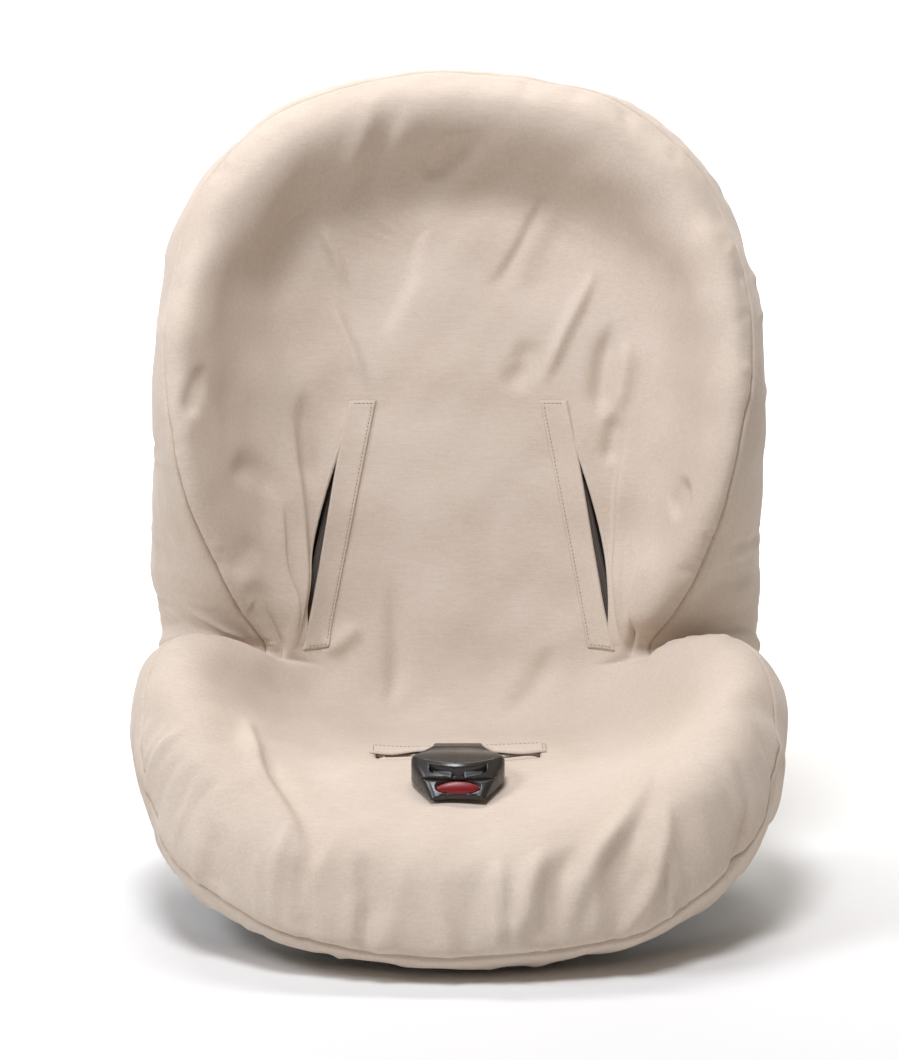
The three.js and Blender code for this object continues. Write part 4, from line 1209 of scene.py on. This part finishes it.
# ------------------------------------------------------------------ carried-over CAD pieces
def dress_cad_nodes():
    """Gives each CAD node that still shows the finish of its material slot."""
    for name, node in frame["nodes"].items():
        node.data.materials.clear()
        node.data.materials.append(FINISH_OF_SLOT[SLOT_OF_NODE[name]])


ROUNDED_PIECES = {
    "base": (("base_plate", 1.6), ("rail_left", 1.2), ("rail_right", 1.2), ("recline_rack", 0.6),
             ("lockoff_bracket_left", 0.8), ("lockoff_bracket_right", 0.8), ("foot_front_left", 1.5),
             ("foot_front_right", 1.5), ("foot_rear_left", 1.5), ("foot_rear_right", 1.5)),
    "seat": (("runner_left", 1.2), ("runner_right", 1.2), ("hip_anchor_left", 0.5), ("hip_anchor_right", 0.5),
             ("rear_anchor_bar", 0.6), ("crotch_anchor_plate", 0.5)),
    "recline_latch": (("recline_handle", 2.0), ("recline_pawl", 0.5)),
    "slider_left": (("strap_slider_left", 0.5),),
    "slider_right": (("strap_slider_right", 0.5),),
    "lockoff_left": (("lockoff_lever_left", 0.9),),
    "lockoff_right": (("lockoff_lever_right", 0.9),),
}


def rounded_copy(name, body, radius):
    """The same part with its sharp edges rounded over, as it leaves the mould or the press."""
    node = frame["nodes"][name]
    shape = bmesh.new()
    shape.from_mesh(node.data)
    bmesh.ops.remove_doubles(shape, verts=shape.verts, dist=1e-6)
    bmesh.ops.dissolve_limit(shape, angle_limit=math.radians(1), verts=shape.verts, edges=shape.edges)
    sharp = [e for e in shape.edges if e.is_manifold and e.calc_face_angle(0) > math.radians(32)]
    bmesh.ops.bevel(shape, geom=sharp, offset=radius * MM, segments=3, profile=0.5, affect="EDGES",
                    clamp_overlap=True, offset_type="OFFSET")
    mesh = bpy.data.meshes.new(name + "_rounded")
    shape.to_mesh(mesh)
    shape.free()
    shade_smooth(mesh, 35)
    mesh.materials.append(node.data.materials[0])
    piece = placed(name + "_rounded", mesh)
    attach(piece, body)
    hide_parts(name)


def rounded_pieces():
    for body, pieces in ROUNDED_PIECES.items():
        for name, radius in pieces:
            rounded_copy(name, body, radius)


# ------------------------------------------------------------------ studio
def studio_sweep():
    """A seamless white paper sweep: flat under the seat, curving up into a wall behind it."""
    turn = np.linspace(0, math.pi / 2, 24)
    radius, back = 1.5, 2.2
    curve = zip(back + radius * np.sin(turn), radius * (1 - np.cos(turn)))
    profile = [(-5.0, 0.0), *curve, (back + radius, 6.0)]
    points = [(x, y, z - 0.0005) for x in (-6.0, 6.0) for y, z in profile]
    count = len(profile)
    mesh = bpy.data.meshes.new("studio_sweep")
    mesh.from_pydata(points, [], [(i, i + count, i + count + 1, i + 1) for i in range(count - 1)])
    shade_smooth(mesh)
    material, tree = start_finish("matt_white_paper", 0.9)
    place = put(tree, "TexCoord").outputs["Object"]
    mottle = put(tree, "TexNoise", {"Vector": place, "Scale": 3.0, "Detail": 2.0}).outputs["Fac"]
    tones = {0: mottle, 6: linear("#E6E5E3"), 7: linear("#EAE9E7")}
    feed(material, "Base Color", put(tree, "Mix", tones, data_type="RGBA").outputs[2])
    mesh.materials.append(material)
    placed("studio_sweep", mesh)


def softbox(name, place, target, size, watts, colour="#FFFFFF"):
    """A round soft light, size metres across, turned towards a point."""
    lamp = bpy.data.lights.new(name, "AREA")
    lamp.shape = "DISK"
    lamp.size = size
    lamp.energy = watts
    lamp.color = linear(colour)[:3]
    light = placed(name, lamp)
    light.location = place
    light.rotation_euler = (Vector(target) - Vector(place)).to_track_quat("-Z", "Y").to_euler()


def studio_lights():
    world = bpy.data.worlds.new("studio_air")
    world.use_nodes = True
    background = world.node_tree.nodes["Background"]
    background.inputs["Color"].default_value = linear("#FFF1E4")
    background.inputs["Strength"].default_value = 0.2
    bpy.context.scene.world = world
    middle = (0, 0, 0.3)
    softbox("key_softbox", (-0.3, -1.1, 2.9), middle, size=0.9, watts=58, colour="#F5F8FF")
    softbox("left_softbox", (-1.9, -0.9, 2.1), middle, size=1.0, watts=28, colour="#F0F5FF")
    softbox("backdrop_lamp", (0, 1.3, 3.0), (0, 3.7, 1.2), size=2.4, watts=190)
    bpy.context.scene.view_settings.view_transform = "Standard"


def studio_camera():
    """A long lens, ten degrees above level, straight in front."""
    lens = bpy.data.cameras.new("studio_camera")
    lens.sensor_fit = "VERTICAL"
    lens.sensor_height = 36.0
    lens.lens = 110.85
    lens.shift_x = -0.0080
    lens.shift_y = -0.0368
    camera = placed("studio_camera", lens)
    target, distance, rise = Vector((0, 0, 0.3)), 2.4, math.radians(10)
    camera.location = target + distance * Vector((0, -math.cos(rise), math.sin(rise)))
    camera.rotation_euler = (target - camera.location).to_track_quat("-Z", "Y").to_euler()
    bpy.context.scene.camera = camera


studio_sweep()
studio_lights()
studio_camera()
dress_cad_nodes()
rounded_pieces()
cover_front()
cover_side()
hem_casing()
for side_name, side_sign in (("left", -1), ("right", 1)):
    slot_facing(side_name, side_sign)
    slot_binding(side_name, side_sign)
    shoulder_webbing(side_name, side_sign)
crotch_facing()
crotch_binding()
foam_pads()
crotch_webbing()
buckle_case()
tongue_plates()
press_button()
shell_moulding()
